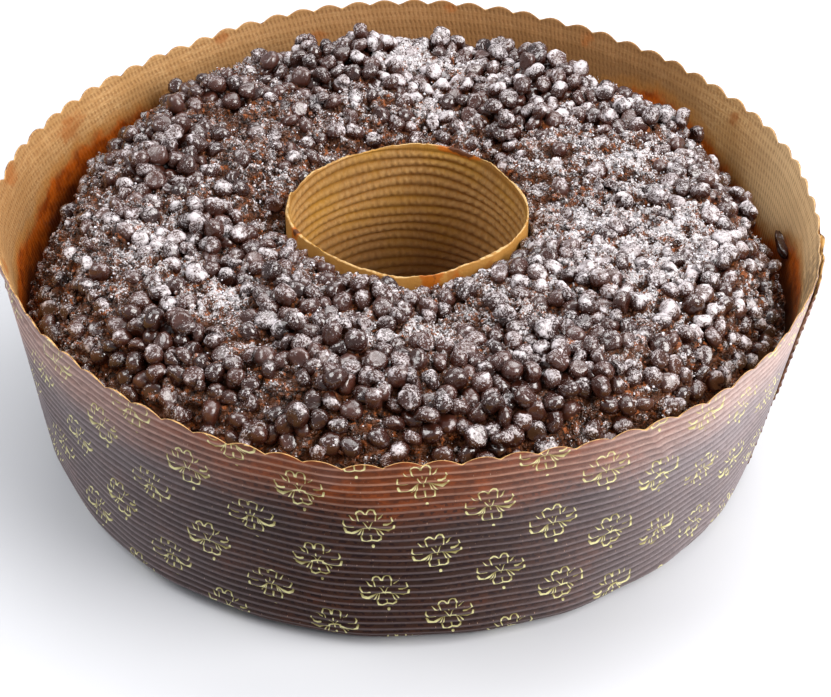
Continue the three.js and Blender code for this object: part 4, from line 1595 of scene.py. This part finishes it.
def crumb_finish():
    """Dark reddish crumb: grains of several browns, some glossy or orange, with pores between painted dark
    as shade.
    """
    finish = Finish("cake_crumb", Specular_IOR_Level=0.45)
    place = finish.place()
    swirl = finish.node("ShaderNodeTexNoise", {}, {"Vector": place, "Scale": SWIRLS_PER_METRE}, "Color")
    shift = finish.vector("SCALE", {"Vector": swirl, "Scale": SWIRL_REACH * METRES})
    warped = finish.vector("ADD", [place, shift])
    large, small = finish.cells(warped, 1.0), finish.cells(warped, 0.5)
    own = finish.part(finish.cells(warped, 1.0, "Color"), 0)
    # Pores are pits in the bump, and are also painted dark as painted shade.
    shaded_pores = finish.noise(place, 2.0, 3, 0.6).step(0.47, 0.37)
    body = finish.coats(
        finish.blend(paint(56, 28, 12), paint(116, 66, 34), own),
        (paint(172, 92, 36), own.step(0.82, 0.92) * 0.65),
        (paint(26, 11, 6), shaded_pores * 0.85))
    sugar = sugared(finish, body, own * 0.35 + 0.2, 1.3, 0.9, 0.8, paint(242, 236, 238))
    finish.bump((0.8 - large) + (0.5 - small) * 0.4 - shaded_pores * 0.6 + sugar * 0.25, 1.0)
    return finish


def chocolate_finish():
    """Glossy dark chocolate: brown with a slight bloom, each drop of its own tone, faintly wrinkled."""
    finish = Finish("chocolate_drops", Specular_IOR_Level=1.0)
    place = finish.place()
    own = finish.attribute("tone")
    bloom = finish.noise(place, 3.2, 3).step(0.45, 0.7)
    body = finish.coats(
        finish.blend(paint(36, 14, 8), paint(66, 30, 18), own),
        (paint(92, 58, 50), bloom * 0.25))
    sugar = sugared(finish, body, own * 0.14 + 0.14, 2.3, 0.85, 0.5, paint(226, 217, 220))
    wrinkles = finish.noise(place, 2.6, 3, 0.5)
    finish.bump(wrinkles + sugar * 0.3, 0.45, 0.8)
    return finish


def sugar_finish():
    """Icing sugar: nearly white, dull and faintly speckled."""
    finish = Finish("icing_sugar", Roughness=0.9, Specular_IOR_Level=0.2)
    speckle = finish.noise(finish.place(), 0.3, 2)
    finish.feed("Base Color", finish.blend(paint(222, 218, 228), paint(246, 244, 248), speckle))
    return finish


crumb_finish().cover(core, crumbs)
chocolate_finish().cover(drops, shards)
sugar_finish().cover(clumps)

# %% [markdown]
# ## Floor and light
#
# The picture is a studio shot on a pale floor. The strongest light is a soft box in front at the right,
# which puts broad highlights on the drops. A wide one hangs overhead, two more stand behind and at the
# left, and a bright surround fills the shadows.


# %% Floor
FLOOR_HALF, FLOOR_DROP = 2500.0, 0.3


def floor_finish():
    """Nearly even pale grey."""
    finish = Finish("floor", Roughness=0.55, Specular_IOR_Level=0.3)
    cloud = finish.noise(finish.place(), 60)
    finish.feed("Base Color", finish.blend(paint(206, 207, 211), paint(211, 212, 216), cloud))
    return finish


floor_points = np.array([[-1, -1, 0], [1, -1, 0], [1, 1, 0], [-1, 1, 0]]) * FLOOR_HALF - [0, 0, FLOOR_DROP]
floor_mesh = bpy.data.meshes.new("floor")
floor_mesh.from_pydata((floor_points * METRES).tolist(), [], [(0, 1, 2, 3)])
floor = bpy.data.objects.new("floor", floor_mesh)
scene.collection.objects.link(floor)
floor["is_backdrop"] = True
floor_finish().cover(floor)

# %% Lights
SURROUND_COLOUR, SURROUND_STRENGTH = (0.9, 0.94, 1.0, 1.0), 0.36
LIGHT_AIM = [0, 0, 40]
world = bpy.data.worlds.new("surround")
scene.world = world
world.use_nodes = True
background = world.node_tree.nodes["Background"]
background.inputs["Color"].default_value = SURROUND_COLOUR
background.inputs["Strength"].default_value = SURROUND_STRENGTH
scene.view_settings.view_transform = "Standard"


def softbox(name, azimuth, elevation, distance, size, watts, colour=(1.0, 1.0, 1.0)):
    """A square area light in mm, aimed at the middle of the cake from an azimuth and an elevation."""
    a, e = np.radians([azimuth, elevation])
    toward = np.array([np.cos(a) * np.cos(e), np.sin(a) * np.cos(e), np.sin(e)])
    data = bpy.data.lights.new(name, "AREA")
    data.size = size * METRES
    data.energy = watts
    data.color = colour
    lamp = bpy.data.objects.new(name, data)
    matrix = np.eye(4)
    matrix[:3, :3] = frames(toward[None], np.zeros(1))[0]
    matrix[:3, 3] = (toward * distance + LIGHT_AIM) * METRES
    lamp.matrix_world = Matrix(matrix.tolist())
    scene.collection.objects.link(lamp)
    print(f"{name}: {watts} W from azimuth {azimuth}, elevation {elevation}")


softbox("key", -30, 40, 1000, 640, 13.2, (1.0, 0.98, 0.96))
softbox("top", 80, 62, 1200, 1000, 9.0)
softbox("back", 45, 48, 1100, 600, 4.0)
softbox("left", 185, 50, 1200, 600, 8.0)

# %% [markdown]
# ## Sizes at the end
#
# The visual model stands a little proud of the CAD box, so both boxes are printed.

# %% Sizes
visual_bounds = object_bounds()
sizes = {"cad": [list(corner) for corner in cad_bounds],
         "visual": [list(corner) for corner in visual_bounds]}
for key, (low, high) in sizes.items():
    print(key, [round(1000 * (b - a), 1) for a, b in zip(low, high)], "mm")
